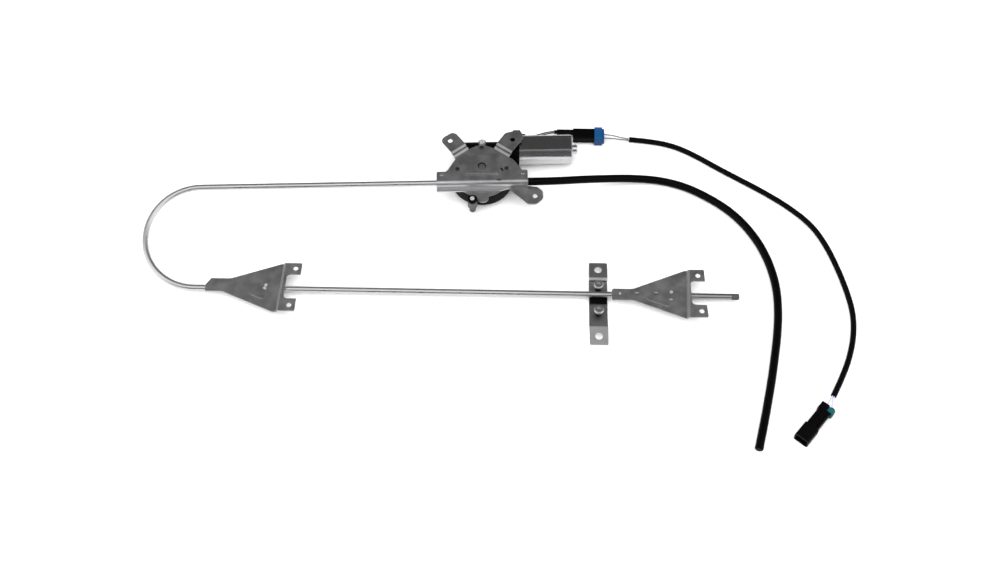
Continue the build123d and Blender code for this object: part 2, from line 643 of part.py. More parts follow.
def make_bushing():
    """Steel bushing under the front boss."""
    sleeve = washer(BUSHING_R, SCREW_R + 0.2, BUSHING_LOW_Z, BUSHING_TOP_Z, *BOSS_PLACES[1])
    sleeve -= disc(HOUSING_R + SEAT_GAP, 0, HOUSING_TOP_Z)
    return DRIVE * sleeve


def make_plate_screws():
    return gather([DRIVE * screw(x, y, PLATE_TOP, 6.0, 2.9, 1.5) for x, y in POST_PLACES])


def make_shaft_seal():
    return DRIVE * washer(SHAFT_R + 3.0 - SEAT_GAP, SHAFT_R + RUN_GAP, HOUSING_TOP_Z - 0.6, COVER_TOP - SEAT_GAP)


def make_grommet():
    gx, gy, gz = GROMMET_PLACE
    body = rod(4.2, gx - 2.0 + SEAT_GAP, gx + 5.0, gy, gz)
    body = fillet(body.faces().sort_by(Axis.X)[-1].edges(), 1.5)
    for side in (-1, 1):
        body -= rod(WIRE_R + 0.05, gx + 1.0, gx + 6.0, gy + side * 1.6, gz)
    return DRIVE * body


# ---------------------------------------------------------------- drive plate
def curl_section():
    """Section across the cable, from the plate over the tube and down to the flange."""
    inner, outer = CHANNEL_R, CHANNEL_R + SHEET
    # Y and Z counted from the cable axis; X is along the cable
    top = PLATE_TOP - UPPER_Z
    low = FLANGE_TOP - UPPER_Z
    path = Polyline((-outer, low - SHEET), (-FLANGE_OUT, low - SHEET), (-FLANGE_OUT, low),
                    (-outer, low), (-outer, 0))
    arc = RadiusArc((-outer, 0), (0, top), outer)
    back = Polyline((0, top), (8.0, top), (8.0, top - SHEET), (0, top - SHEET))
    inside = RadiusArc((0, top - SHEET), (-inner, 0), -inner)
    close = Polyline((-inner, 0), (-inner, low - SHEET), (-outer, low - SHEET))
    return make_face([path, arc, back, inside, close])


def ear_frame(side):
    """Frame at an ear's hole, X along the ear away from the hub."""
    turn = EAR_TURN if side > 0 else 180 - EAR_TURN
    return Pos(side * EAR_HOLE[0], EAR_HOLE[1], 0) * Rot(0, 0, turn)


def make_ear(side):
    """A joggled ear: up a ramp between two bends, with a rounded end."""
    rise = EAR_TOP - PLATE_TOP
    half = rise / 2
    step = EAR_STEP
    strip = make_face(Polyline(
        (EAR_LOW - 9, 0), (EAR_LOW, 0), (EAR_LOW + step, half), (EAR_HIGH - step, half), (EAR_HIGH, rise), (30, rise),
        (30, rise - SHEET), (EAR_HIGH + 0.7, rise - SHEET), (EAR_HIGH - step + 0.7, half - SHEET),
        (EAR_LOW + step + 0.7, half - SHEET), (EAR_LOW + 0.7, -SHEET), (EAR_LOW - 9, -SHEET), close=True))
    strip = Pos(0, 0, PLATE_TOP) * extrude(Plane.XZ * strip, 30, both=True)
    if side > 0:
        tips = ((EAR_LOW - 8, 10.5), (9.9, 10.2), (16.8, 3.4), (17.0, -3.5), (3.0, -14.6), (EAR_LOW - 8, -14.0))
        tips = tuple((u, -w) for u, w in tips)
        rounds = ((16.8, -3.4, 4.0), (17.0, 3.5, 4.0), (9.9, -10.2, 5.0), (3.0, 14.6, 5.0))
    else:
        tips = ((EAR_LOW - 8, 10.2), (9.8, 10.2), (9.8, -13.4), (EAR_LOW - 8, -13.4))
        rounds = ((9.8, 10.2, 7.0), (9.8, -13.4, 7.5))
    outline = prism(tips, PLATE_LOW - CUT, EAR_TOP + CUT)
    for x, y, radius in rounds:
        outline = round_corner(outline, x, y, radius)
    ear = strip & outline
    ear -= disc(MOUNT_HOLE_R, PLATE_LOW - CUT, EAR_TOP + CUT)
    return ear_frame(side) * ear


def pan_outline(grow):
    """Outline of the raised pan over the pinion, grown or shrunk by a wall."""
    half, low, shoulder = PAN_HALF + grow, PAN_LOW_Y - grow, 0.0
    top = PAN_TOP_Y + grow
    sides = Polyline((-half, shoulder), (-half, low), (half, low), (half, shoulder))
    crown = ThreePointArc((half, shoulder), (0, top), (-half, shoulder))
    return make_face([sides, crown])


def make_drive_plate():
    """One stamping: plate, raised pan, two joggled ears, and a curled edge over the cable."""
    edge_y = CABLE_Y + 7.0
    body = prism([(-PLATE_HALF, edge_y - 1), (-PLATE_HALF, -7.0), (12.5 - PLATE_HALF, -7.0), (15.5 - PLATE_HALF, -3.5),
                  (-36.0, 12.8), (-33.5, 22.0), (-22.0, 30.0), (-15.0, 30.5), (-6.0, 34.9), (6.0, 34.9), (15.0, 30.5),
                  (22.0, 30.0), (33.5, 22.0), (40.5, 13.6), (PLATE_HALF - 9.5, -2.0), (PLATE_HALF - 7.5, -6.0),
                  (PLATE_HALF, -6.0), (PLATE_HALF, edge_y - 1)], PLATE_LOW, PLATE_TOP)
    for x, y, radius in ((-PLATE_HALF, -7.0, 2.0), (PLATE_HALF, -6.0, 2.0), (-6.0, 34.9, 5.0),
                         (6.0, 34.9, 5.0), (12.5 - PLATE_HALF, -7.0, 3.0), (PLATE_HALF - 9.5, -2.0, 4.0)):
        body = round_corner(body, x, y, radius)
    curl = Pos(-PLATE_HALF, CABLE_Y, UPPER_Z) * extrude(Plane.YZ * curl_section(), 2 * PLATE_HALF)
    taper = prism([(22.0, CABLE_Y - FLANGE_OUT - CUT), (PLATE_HALF + CUT, CABLE_Y - FLANGE_OUT - CUT),
                   (PLATE_HALF + CUT, CABLE_Y - CHANNEL_R - SHEET - 0.2), (40.0, CABLE_Y - CHANNEL_R - SHEET - 0.2)],
                  FLANGE_TOP - SHEET - CUT, FLANGE_TOP + 0.01)
    curl -= taper
    # the flat sheet behind the ears' ramps is cut away where the ears leave it
    for side in (-1, 1):
        body -= ear_frame(side) * block(EAR_LOW, 40, -30, 30, PLATE_LOW - CUT, PLATE_TOP + CUT)
    plate = body + curl + make_ear(-1) + make_ear(1)
    plate += Pos(0, 0, PLATE_TOP - CUT) * extrude(pan_outline(0.4), PAN_TOP - PLATE_TOP + CUT, taper=22)
    plate -= Pos(0, 0, PLATE_LOW - CUT) * extrude(pan_outline(-1.2), PAN_TOP - SHEET - PLATE_LOW + CUT, taper=22)
    plate -= disc(HUB_HOLE_R, PLATE_LOW, PAN_TOP + CUT)
    # two lancet slots beside the pan, and windows in the channel
    plate -= Pos(26.6, -4.6, PLATE_TOP) * Rot(0, 0, -62) * extrude(SlotOverall(6.4, 2.4), 4, both=True)
    plate -= Pos(22.0, CABLE_Y - 0.6, PLATE_TOP) * extrude(SlotOverall(8.0, 2.0), 4, both=True)
    for x, y in POST_PLACES:
        plate -= disc(SCREW_R + 0.3, PLATE_LOW - CUT, PLATE_TOP + CUT, x, y)
    for side in (-1, 1):
        plate -= disc(RIVET_R - 0.6, PLATE_LOW - CUT, PLATE_TOP + CUT, side * STRAP_X, CABLE_Y + 9.4)
    return DRIVE * plate


def make_lower_arm():
    """Flat arm welded under the curl's flange, with the third mounting hole."""
    low = FLANGE_TOP - 2 * SHEET - SEAT_GAP
    arm = prism([(34.0, -27.9), (60.6, -53.6), (72.0, -53.8), (81.0, -45.4), (81.0, -33.6),
                 (73.6, -26.6), (58.0, -24.6), (37.0, -25.6)], low, low + SHEET)
    for x, y, radius in ((60.6, -53.6, 4.0), (72.0, -53.8, 7.0), (81.0, -45.4, 7.0),
                         (81.0, -33.6, 7.0), (73.6, -26.6, 6.0)):
        arm = round_corner(arm, x, y, radius)
    arm -= disc(MOUNT_HOLE_R, low - CUT, low + SHEET + CUT, *ARM_HOLE)
    return DRIVE * arm


def make_clamp_straps():
    """Saddles under the tube ends, riveted to the plate."""
    inner, outer = TUBE_R + SEAT_GAP, TUBE_R + SEAT_GAP + STRAP_T
    top = PLATE_LOW - UPPER_Z
    path = Polyline((14.0, top), (14.0, top - STRAP_T), (outer, top - STRAP_T), (outer, 0))
    under = RadiusArc((outer, 0), (0, -outer), outer)
    foot = Line((0, -outer), (0, -inner))
    inside = RadiusArc((0, -inner), (inner, 0), -inner)
    rise = Polyline((inner, 0), (inner, top), (14.0, top))
    section = make_face([path, under, foot, inside, rise])
    straps = []
    for side in (-1, 1):
        start = side * STRAP_X - STRAP_W / 2
        straps.append(DRIVE * Pos(start, CABLE_Y, UPPER_Z) * extrude(Plane.YZ * section, STRAP_W))
    holed = [strap - DRIVE * disc(RIVET_R - 0.6, PLATE_LOW - 4, PLATE_LOW + 4, side * STRAP_X, CABLE_Y + 9.4)
             for side, strap in zip((-1, 1), straps)]
    return gather(holed)


def rivet(x, y, low, high):
    """A rivet with a domed head above and a flat head below."""
    dome = disc(RIVET_R, high, high + 1.2, x, y)
    dome = fillet(dome.faces().sort_by(Axis.Z)[-1].edges(), 0.9)
    shank = disc(RIVET_R - 0.65, low - SEAT_GAP, high + SEAT_GAP, x, y)
    return dome + shank + disc(RIVET_R, low - 0.9, low, x, y)


def make_clamp_rivets():
    return gather([DRIVE * rivet(side * STRAP_X, CABLE_Y + 9.4, PLATE_LOW - STRAP_T, PLATE_TOP)
                   for side in (-1, 1)])


def make_cable_guide():
    """Nylon block in the curl that holds the cable against the pinion."""
    low, high = UPPER_Z - 4.3, UPPER_Z + 4.3
    guide = block(-21.0, 21.0, CABLE_Y - CHANNEL_R + SEAT_GAP, CABLE_Y, low, high)
    guide -= rod(CABLE_WIND_R + 0.25, -22.0, 22.0, CABLE_Y, UPPER_Z)
    corner = rod(CHANNEL_R - SEAT_GAP, -22.0, 22.0, CABLE_Y, UPPER_Z)
    corner += block(-22.0, 22.0, CABLE_Y - CHANNEL_R - CUT, CABLE_Y + CUT, low - CUT, UPPER_Z)
    return DRIVE * (guide & corner)


# ---------------------------------------------------------------- brackets
def bracket_strip(fold_x, lean, reach):
    """A bent sheet: flat over the tube, then up a short ramp to the tabs."""
    low, high = BRACKET_Z, BRACKET_Z + BRACKET_JOGGLE
    near, far = -BRACKET_RAMP / 2, BRACKET_RAMP / 2
    section = make_face(Polyline((-120, low), (near, low), (far, high), (reach, high), (reach, high + SHEET),
                                 (far - 1.0, high + SHEET), (near - 1.0, low + SHEET), (-120, low + SHEET),
                                 close=True))
    strip = extrude(Plane.XZ * section, 50, both=True)
    return Pos(fold_x, LOWER_Y, 0) * Rot(0, 0, lean) * strip


def make_bracket(outline, rounds, fold_x, lean, holes, welds, bead, dimples):
    """A flared bracket: neck on the tube, fold, and two mounting tabs."""
    shifted = [(x, LOWER_Y + y) for x, y in outline]
    blank = prism(shifted, TUBE_TOP - CUT, BRACKET_Z + BRACKET_JOGGLE + SHEET + CUT)
    for x, y, radius in rounds:
        blank = round_corner(blank, x, LOWER_Y + y, radius)
    bracket = bracket_strip(fold_x, lean, 60) & blank
    for x, y in holes:
        bracket -= disc(MOUNT_HOLE_R, TUBE_TOP, BRACKET_Z + 12, x, LOWER_Y + y)
    for x, y in welds:
        bracket -= disc(1.7, TUBE_TOP - CUT, BRACKET_Z + 12, x, LOWER_Y + y)
    # a shallow stiffening bead pressed up along one flank
    (bx, by, length, turn) = bead
    ridge = Pos(bx, LOWER_Y + by, BRACKET_Z + SHEET - 0.2) * Rot(0, 0, turn) * extrude(
        SlotOverall(length, 4.4), 0.45)
    bracket += chamfer(ridge.faces().sort_by(Axis.Z)[-1].edges(), 0.24)
    for x, y in dimples:
        bracket -= Pos(x, LOWER_Y + y, BRACKET_Z + SHEET + 1.4) * Sphere(2.9)
    return bracket


LEFT_FOLD = (-204.7, -3.6)
LEFT_HOLES = ((-187.7, 25.9), (-191.9, -29.0))
LEFT_WELDS = ((-224.9, 2.2), (-226.1, -2.4))
LEFT_OUTLINE = ((-303.4, -7.9), (-281.5, -7.9), (-213.5, -37.2), (-184.4, -37.2), (-183.4, -19.1),
                (-200.4, -19.1), (-198.2, 17.3), (-180.9, 17.3), (-179.5, 34.0), (-207.5, 34.0),
                (-271.4, 11.2), (-297.0, 11.2), (-303.4, 1.5))
LEFT_ROUNDS = ((-200.4, -19.1, 5.0), (-198.2, 17.3, 5.0), (-213.5, -37.2, 4.0), (-281.5, -7.9, 12.0),
               (-271.4, 11.2, 16.0), (-207.5, 34.0, 8.0), (-184.4, -37.2, 1.5), (-179.5, 34.0, 1.5),
               (-303.4, -7.9, 1.0))
RIGHT_FOLD = (323.6, -1.9)
RIGHT_HOLES = ((336.8, 25.5), (339.5, -27.3))
RIGHT_WELDS = ((301.7, 2.2), (235.1, -1.5))
RIGHT_DIMPLES = ((257.0, -0.5), (281.8, 0.2), (300.8, -9.8))
RIGHT_OUTLINE = ((224.8, -10.8), (252.0, -10.8), (319.5, -36.6), (347.9, -35.9), (346.4, -18.0),
                 (327.6, -18.0), (326.4, 17.6), (345.6, 17.6), (344.9, 34.6), (319.5, 34.2),
                 (252.0, 5.8), (224.8, 5.8))
RIGHT_ROUNDS = ((327.6, -18.0, 5.0), (326.4, 17.6, 5.0), (319.5, -36.6, 4.0), (252.0, -10.8, 14.0),
                (252.0, 5.8, 16.0), (319.5, 34.2, 5.0), (347.9, -35.9, 1.5), (344.9, 34.6, 1.5),
                (224.8, 5.8, 2.5), (224.8, -10.8, 1.0))


def make_left_bracket():
    return make_bracket(LEFT_OUTLINE, LEFT_ROUNDS, *LEFT_FOLD, LEFT_HOLES, LEFT_WELDS, (-235.0, -14.0, 18.0, -24.0), ())


def make_right_bracket():
    return make_bracket(RIGHT_OUTLINE, RIGHT_ROUNDS, *RIGHT_FOLD, RIGHT_HOLES, RIGHT_WELDS, (284.0, -13.0, 30.0, -20.0),
                        RIGHT_DIMPLES)


def make_bracket_welds():
    """Plug welds that fill the brackets' small holes down to the tube."""
    plugs = []
    for x, y in LEFT_WELDS + RIGHT_WELDS:
        plug = disc(1.7 - SEAT_GAP, TUBE_TOP - 0.9, BRACKET_Z + SHEET + 0.4, x, LOWER_Y + y)
        plugs.append(plug - rod(TUBE_R + SEAT_GAP, x - 4, x + 4, LOWER_Y, LOWER_Z))
    return gather(plugs)


# ---------------------------------------------------------------- lift plate
def make_lift_plate():
    """Bent strip under the tube: low in the middle, raised at its two holed ends."""
    section = make_face(Polyline(
        (LIFT_LOW, LIFT_RISE), (LIFT_LOW_BEND - LIFT_RAMP / 2, LIFT_RISE), (LIFT_LOW_BEND + LIFT_RAMP / 2, 0),
        (LIFT_TOP_BEND - LIFT_RAMP / 2, 0), (LIFT_TOP_BEND + LIFT_RAMP / 2, LIFT_RISE), (LIFT_TOP, LIFT_RISE),
        (LIFT_TOP, LIFT_RISE + SHEET), (LIFT_TOP_BEND + LIFT_RAMP / 2 - 1.4, LIFT_RISE + SHEET),
        (LIFT_TOP_BEND - LIFT_RAMP / 2 - 1.4, SHEET), (LIFT_LOW_BEND + LIFT_RAMP / 2 + 1.4, SHEET),
        (LIFT_LOW_BEND - LIFT_RAMP / 2 + 1.4, LIFT_RISE + SHEET), (LIFT_LOW, LIFT_RISE + SHEET), close=True))
    plate = Pos(LIFT_X - LIFT_W / 2, LOWER_Y, 0) * extrude(Plane.YZ * section, LIFT_W)
    corners = plate.edges().filter_by(Axis.Z).group_by(Axis.Y)
    plate = fillet(corners[0] + corners[-1], 1.6)
    for y in (LIFT_HOLE_HIGH, LIFT_HOLE_LOW):
        plate -= disc(LIFT_HOLE_R, LIFT_RISE - CUT, LIFT_RISE + SHEET + CUT, LIFT_X, LOWER_Y + y)
    for y in STUD_PLACES:
        plate -= disc(STUD_R + 0.1, -CUT, SHEET + CUT, LIFT_X, LOWER_Y + y)
    return plate


def make_slide_shoe():
    """Black slider between the lift plate and the tube, with a lip along one side."""
    half = SHOE_LEN / 2
    shoe = block(LIFT_X - half, LIFT_X + half, LOWER_Y + SHOE_LOW, LOWER_Y + SHOE_TOP,
                 SHEET + SEAT_GAP, TUBE_LOW - RUN_GAP)
    lip = block(LIFT_X - half, LIFT_X + half, LOWER_Y + SHOE_LOW, LOWER_Y - TUBE_R - RUN_GAP,
                SHEET + SEAT_GAP, SHOE_LIP_Z)
    shoe = chamfer((shoe + lip).edges().filter_by(Axis.X).group_by(Axis.Z)[-1], 0.5)
    gap = TONGUE_LEN / 2 + 0.1
    return shoe - block(LIFT_X - gap, LIFT_X + gap, LOWER_Y - TONGUE_W / 2 - 0.1,
                        LOWER_Y + TONGUE_W / 2 + 0.1, 0, LOWER_Z)


def make_cable_ferrule():
    """Steel end of the cable inside the tube, with a tongue through the slot to the plate."""
    barrel = rod(FERRULE_R, LIFT_X - FERRULE_LEN / 2, LIFT_X + FERRULE_LEN / 2, LOWER_Y, LOWER_Z)
    barrel = chamfer(barrel.edges().filter_by(GeomType.CIRCLE), 0.4)
    tongue = block(LIFT_X - TONGUE_LEN / 2, LIFT_X + TONGUE_LEN / 2, LOWER_Y - TONGUE_W / 2,
                   LOWER_Y + TONGUE_W / 2, SHEET + SEAT_GAP, LOWER_Z)
    return barrel + tongue


def make_stud_spacers():
    cones = []
    for y in STUD_PLACES:
        height = SPACER_TOP_Z - SHEET - SEAT_GAP
        cone = Pos(LIFT_X, LOWER_Y + y, SHEET + SEAT_GAP + height / 2) * Cone(SPACER_FOOT_R, SPACER_TOP_R, height)
        cones.append(cone - disc(STUD_R + SEAT_GAP, 0, SPACER_TOP_Z + CUT, LIFT_X, LOWER_Y + y))
    return gather(cones)


def make_carriage_studs():
    """Round-headed studs with a socket, flush under the plate."""
    studs = []
    for y in STUD_PLACES:
        head = disc(STUD_HEAD_R, SPACER_TOP_Z + SEAT_GAP, STUD_HEAD_TOP, LIFT_X, LOWER_Y + y)
        head = fillet(head.faces().sort_by(Axis.Z)[-1].edges(), 1.5)
        shank = disc(STUD_R, 0.1, SPACER_TOP_Z + 0.2, LIFT_X, LOWER_Y + y)
        socket = Pos(LIFT_X, LOWER_Y + y, STUD_HEAD_TOP - 2.2) * extrude(RegularPolygon(STUD_SOCKET_R, 6), 4)
        studs.append(head + shank - socket)
    return gather(studs)


# ---------------------------------------------------------------- spare tube and harness
def make_tube_sleeve():
    """Steel sleeve that carries the black tube on, from the pinion out of the channel."""
    sleeve = rod(TUBE_R, SLEEVE_FROM, SLEEVE_TO, CABLE_Y, UPPER_Z)
    sleeve -= rod(TUBE_ID / 2, SLEEVE_FROM - CUT, SLEEVE_TO + CUT, CABLE_Y, UPPER_Z)
    return DRIVE * sleeve


def hose_route():
    """The hose leaves straight along the cable before it droops to the surface."""
    return [tuple(drive_point(HOSE_FROM + run, CABLE_Y, UPPER_Z)) for run in (0, 36.0)] + list(HOSE_POINTS)


def make_spare_tube():
    return cord("spare_tube", hose_route(), HOSE_OD / 2, HOSE_ID / 2)


def make_spare_cap():
    end, before = Vector(*HOSE_POINTS[-1]), Vector(*HOSE_POINTS[-2])
    along = (end - before).normalized()
    plane = Plane(origin=end, z_dir=along)
    head = extrude(plane * Circle(HOSE_OD / 2), HOSE_CAP_LEN)
    head = chamfer(head.edges().sort_by(lambda e: (e.center() - end).length)[-1:], 1.2)
    spigot = extrude(plane * Circle(HOSE_ID / 2 - SEAT_GAP), -8.0)
    return head + spigot


def plug_body(length, width, height, rear=0.0):
    """A connector body along +X from its rear, with ribs along its flanks."""
    body = soften(block(rear, rear + length, -width / 2, width / 2, -height / 2, height / 2), 2.0, Axis.X)
    for y in (-width / 4, width / 4):
        body -= block(rear + 3, rear + length - 3, y - 1.0, y + 1.0, height / 2 - 0.7, height / 2 + CUT)
    return body


def seal_body(length, width, height):
    """Coloured rear seal: a flange and a shorter waist."""
    flange = soften(block(0, length * 0.78, -width / 2, width / 2, -height / 2, height / 2), 3.2, Axis.X)
    waist = soften(block(length * 0.78 - SEAT_GAP, length, -width / 2 + 1.8, width / 2 - 1.8,
                         -height / 2 + 1.8, height / 2 - 1.8), 2.4, Axis.X)
    return flange + waist


def make_motor_connector():
    """Plug half on the motor's own wires, lying against the harness half."""
    half = soften(block(-PLUG_HALF_LEN, 0, -3.5, 3.5, -3.0, 3.0), 1.6, Axis.X)
    tip = Pos(-PLUG_HALF_LEN, 0, 0) * soften(block(-4.0, SEAT_GAP, -2.4, 2.4, -2.0, 2.0), 1.0, Axis.X)
    return Pos(PLUG_A_X - SEAT_GAP, PLUG_A_Y + 5.2, PLUG_A_Z) * (half + tip)


def make_harness_connector():
    return Pos(PLUG_A_X, PLUG_A_Y, PLUG_A_Z) * plug_body(PLUG_A_BODY, PLUG_W, PLUG_H)


def make_harness_seal():
    place = Pos(PLUG_A_X + PLUG_A_BODY + SEAT_GAP, PLUG_A_Y - 0.8, PLUG_A_Z)
    seal = Rot(0, 0, 0) * seal_body(PLUG_SEAL_LEN, SEAL_W, SEAL_H)
    return place * seal


def plug_b():
    """Frame of the end connector: X from its rear to its open front."""
    return Location((*PLUG_B_REAR, SHROUD_H / 2 + 0.6), (0, 0, PLUG_B_TURN))


def make_end_seal():
    seal = Rot(0, 0, 180) * seal_body(PLUG_B_SEAL, PLUG_B_SEAL_W, 15.0)
    return plug_b() * Pos(PLUG_B_SEAL, PLUG_B_CAP[1] + SEAT_GAP + PLUG_B_SEAL_W / 2, 0) * seal


def make_end_connector():
    """Rear body and an open shroud for the mating plug."""
    rear = plug_body(PLUG_B_BODY, PLUG_W, 12.4, PLUG_B_SEAL + SEAT_GAP)
    rear += soften(block(0, PLUG_B_SEAL + 2.0, *PLUG_B_CAP, -6.0, 6.0), 2.4, Axis.X)
    front = PLUG_B_SEAL + PLUG_B_BODY - 2.0
    shroud = soften(block(front, front + SHROUD_LEN, -SHROUD_W / 2, SHROUD_W / 2,
                          -SHROUD_H / 2, SHROUD_H / 2), 3.4, Axis.X)
    shroud = chamfer(shroud.faces().sort_by(Axis.X)[0].edges(), 2.0)
    end = front + SHROUD_LEN
    cavity = soften(block(end - SHROUD_DEPTH, end + CUT, -SHROUD_W / 2 + SHROUD_WALL, SHROUD_W / 2 - SHROUD_WALL,
                          -SHROUD_H / 2 + SHROUD_WALL, SHROUD_H / 2 - SHROUD_WALL), 1.2, Axis.X)
    latch = block(front - 6, end - 5, -3.0, 3.0, SHROUD_H / 2 - SEAT_GAP, SHROUD_H / 2 + 0.9)
    body = rear + shroud + latch - cavity
    for y in (-3.6, 3.6):
        body -= block(end - SHROUD_DEPTH - 4, end, y - TERMINAL[1] / 2, y + TERMINAL[1] / 2,
                      -TERMINAL[2] / 2, TERMINAL[2] / 2)
    return plug_b() * body


def make_end_terminals():
    end = PLUG_B_SEAL + PLUG_B_BODY - 2.0 + SHROUD_LEN
    start = end - SHROUD_DEPTH - 4
    gap = SEAT_GAP
    pair = [block(start + gap, start + TERMINAL[0], y - TERMINAL[1] / 2 + gap, y + TERMINAL[1] / 2 - gap,
                  -TERMINAL[2] / 2 + gap, TERMINAL[2] / 2 - gap) for y in (-3.6, 3.6)]
    return gather([plug_b() * pin for pin in pair])


def pigtail_route(side):
    """From the grommet along the back of the motor to the plug half."""
    gx, gy, gz = GROMMET_PLACE
    start = drive_point(gx + 1.2, gy + side * 1.6, gz)
    out = drive_point(gx + 13.0, gy + side * 1.6, gz)
    end_x = PLUG_A_X - RUN_GAP - PLUG_HALF_LEN - 4.0
    end_y = PLUG_A_Y + 5.2 + side * 1.2
    return [tuple(start), tuple(out), (126.0, 168.4 + side * 1.4, 10.0), (139.0, 175.2 + side * 1.3, 8.2),
            (end_x, end_y, PLUG_A_Z)]


def harness_wire_route(side):
    """From the blue seal down to the mouth of the black sleeve."""
    start_x = PLUG_A_X + PLUG_A_BODY + PLUG_SEAL_LEN + 2 * SEAT_GAP
    return [(start_x + RUN_GAP, PLUG_A_Y - 0.8 + side * 3.2, PLUG_A_Z), (start_x + 11.0, PLUG_A_Y - 0.6 + side * 2.7, 7.6),
            (start_x + 23.0, PLUG_A_Y - 1.2 + side * 1.7, 4.9),
            (HARNESS_POINTS[0][0] - 2 * RUN_GAP, HARNESS_POINTS[0][1] + side * 1.1, SLEEVE_Z)]


def end_wire_route(side):
    """From the sleeve's end into the end connector's seal."""
    end = Vector(*HARNESS_POINTS[-1], SLEEVE_Z)
    before = Vector(*HARNESS_POINTS[-2], SLEEVE_Z)
    along = (end - before).normalized()
    across = Vector(-along.Y, along.X, 0)
    turn = radians(PLUG_B_TURN)
    to_rear = Vector(cos(turn), sin(turn), 0)
    side_way = Vector(-to_rear.Y, to_rear.X, 0)
    rear = Vector(*PLUG_B_REAR, SHROUD_H / 2 + 0.6)
    start = end + across * (side * 1.2) + along * RUN_GAP
    goal = rear + side_way * (side * 3.4) - to_rear * RUN_GAP
    return [tuple(start), tuple(start + along * 5.0 + Vector(0, 0, 0.8)),
            tuple(goal - to_rear * 5.0 - Vector(0, 0, 0.8)), tuple(goal)]


def harness_route():
    return [(x, y, SLEEVE_Z) for x, y in HARNESS_POINTS]


PARTS = {
    "guide_tube": make_guide_tube,
    "tube_end_plug": make_end_plug,
    "rack_cable": make_rack_cable,
    "left_bracket": make_left_bracket,
    "right_bracket": make_right_bracket,
    "bracket_welds": make_bracket_welds,
    "drive_plate": make_drive_plate,
    "lower_arm": make_lower_arm,
    "clamp_straps": make_clamp_straps,
    "clamp_rivets": make_clamp_rivets,
    "cable_guide": make_cable_guide,
    "plate_screws": make_plate_screws,
    "gear_housing": make_gear_housing,
    "housing_cover": make_housing_cover,
    "cover_screws": make_cover_screws,
    "front_bushing": make_bushing,
    "shaft_seal": make_shaft_seal,
    "gear_axle": make_axle,
    "worm_wheel": make_worm_wheel,
    "wheel_damper": make_damper,
    "output_pinion": make_pinion,
    "motor_can": make_motor_can,
    "magnets": make_magnets,
    "brush_card": make_brush_card,
    "brushes": make_brushes,
    "worm_end_bearing": lambda: make_bearing(5.3, TUNNEL_LEFT + 5.4, TUNNEL_LEFT + 10.4),
    "front_bearing": lambda: make_bearing(6.9, COLLAR_FROM + 1.2, COLLAR_FROM + 8.0),
    "rear_bearing": lambda: make_bearing(CAN_BOSS_R - 1.5, CAN_TO + 0.6, CAN_BOSS_TO - 2.0),
    "thrust_pad": make_thrust_pad,
    "wire_grommet": make_grommet,
    "armature_shaft": make_worm_shaft,
    "armature_core": make_armature_core,
    "armature_windings": make_windings,
    "commutator": make_commutator,
    "lift_plate": make_lift_plate,
    "slide_shoe": make_slide_shoe,
    "cable_ferrule": make_cable_ferrule,
    "stud_spacers": make_stud_spacers,
    "carriage_studs": make_carriage_studs,
    "spare_tube_sleeve": make_tube_sleeve,
    "spare_tube": make_spare_tube,
    "spare_tube_cap": make_spare_cap,
    "motor_connector": make_motor_connector,
    "harness_connector": make_harness_connector,
    "harness_connector_seal": make_harness_seal,
    "pigtail_wire_a": lambda: cord("pigtail_wire_a", pigtail_route(1), WIRE_R),
    "pigtail_wire_b": lambda: cord("pigtail_wire_b", pigtail_route(-1), WIRE_R),
    "harness_wire_a": lambda: cord("harness_wire_a", harness_wire_route(1), WIRE_R),
    "harness_wire_b": lambda: cord("harness_wire_b", harness_wire_route(-1), WIRE_R),
    "harness_sleeve": lambda: cord("harness_sleeve", harness_route(), SLEEVE_OD / 2),
    "end_wires": lambda: gather([cord("end_wires", end_wire_route(side), WIRE_R) for side in (1, -1)]),
    "end_connector": make_end_connector,
    "end_connector_seal": make_end_seal,
    "end_terminals": make_end_terminals,
}

if __name__ == "__main__":
    os.makedirs("parts", exist_ok=True)
    for node, make in PARTS.items():
        export_step(ORIGIN * make(), f"parts/{node}.step")
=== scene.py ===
"""Looks of the power window regulator: finishes, cords and the stage."""
import math

import bpy
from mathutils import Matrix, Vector


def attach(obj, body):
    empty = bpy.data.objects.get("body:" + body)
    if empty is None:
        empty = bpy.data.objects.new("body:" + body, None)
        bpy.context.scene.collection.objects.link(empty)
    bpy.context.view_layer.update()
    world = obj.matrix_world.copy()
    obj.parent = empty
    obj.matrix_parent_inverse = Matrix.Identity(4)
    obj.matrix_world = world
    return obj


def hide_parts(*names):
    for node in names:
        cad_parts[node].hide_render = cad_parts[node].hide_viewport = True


bl_info = {
    "name": "Window regulator",
    "version": (1, 0, 0),
    "blender": (4, 5, 0),
    "location": "View3D > Sidebar > Regulator",
    "description": "Finishes, cords and stage for a power window regulator",
    "category": "Object",
}

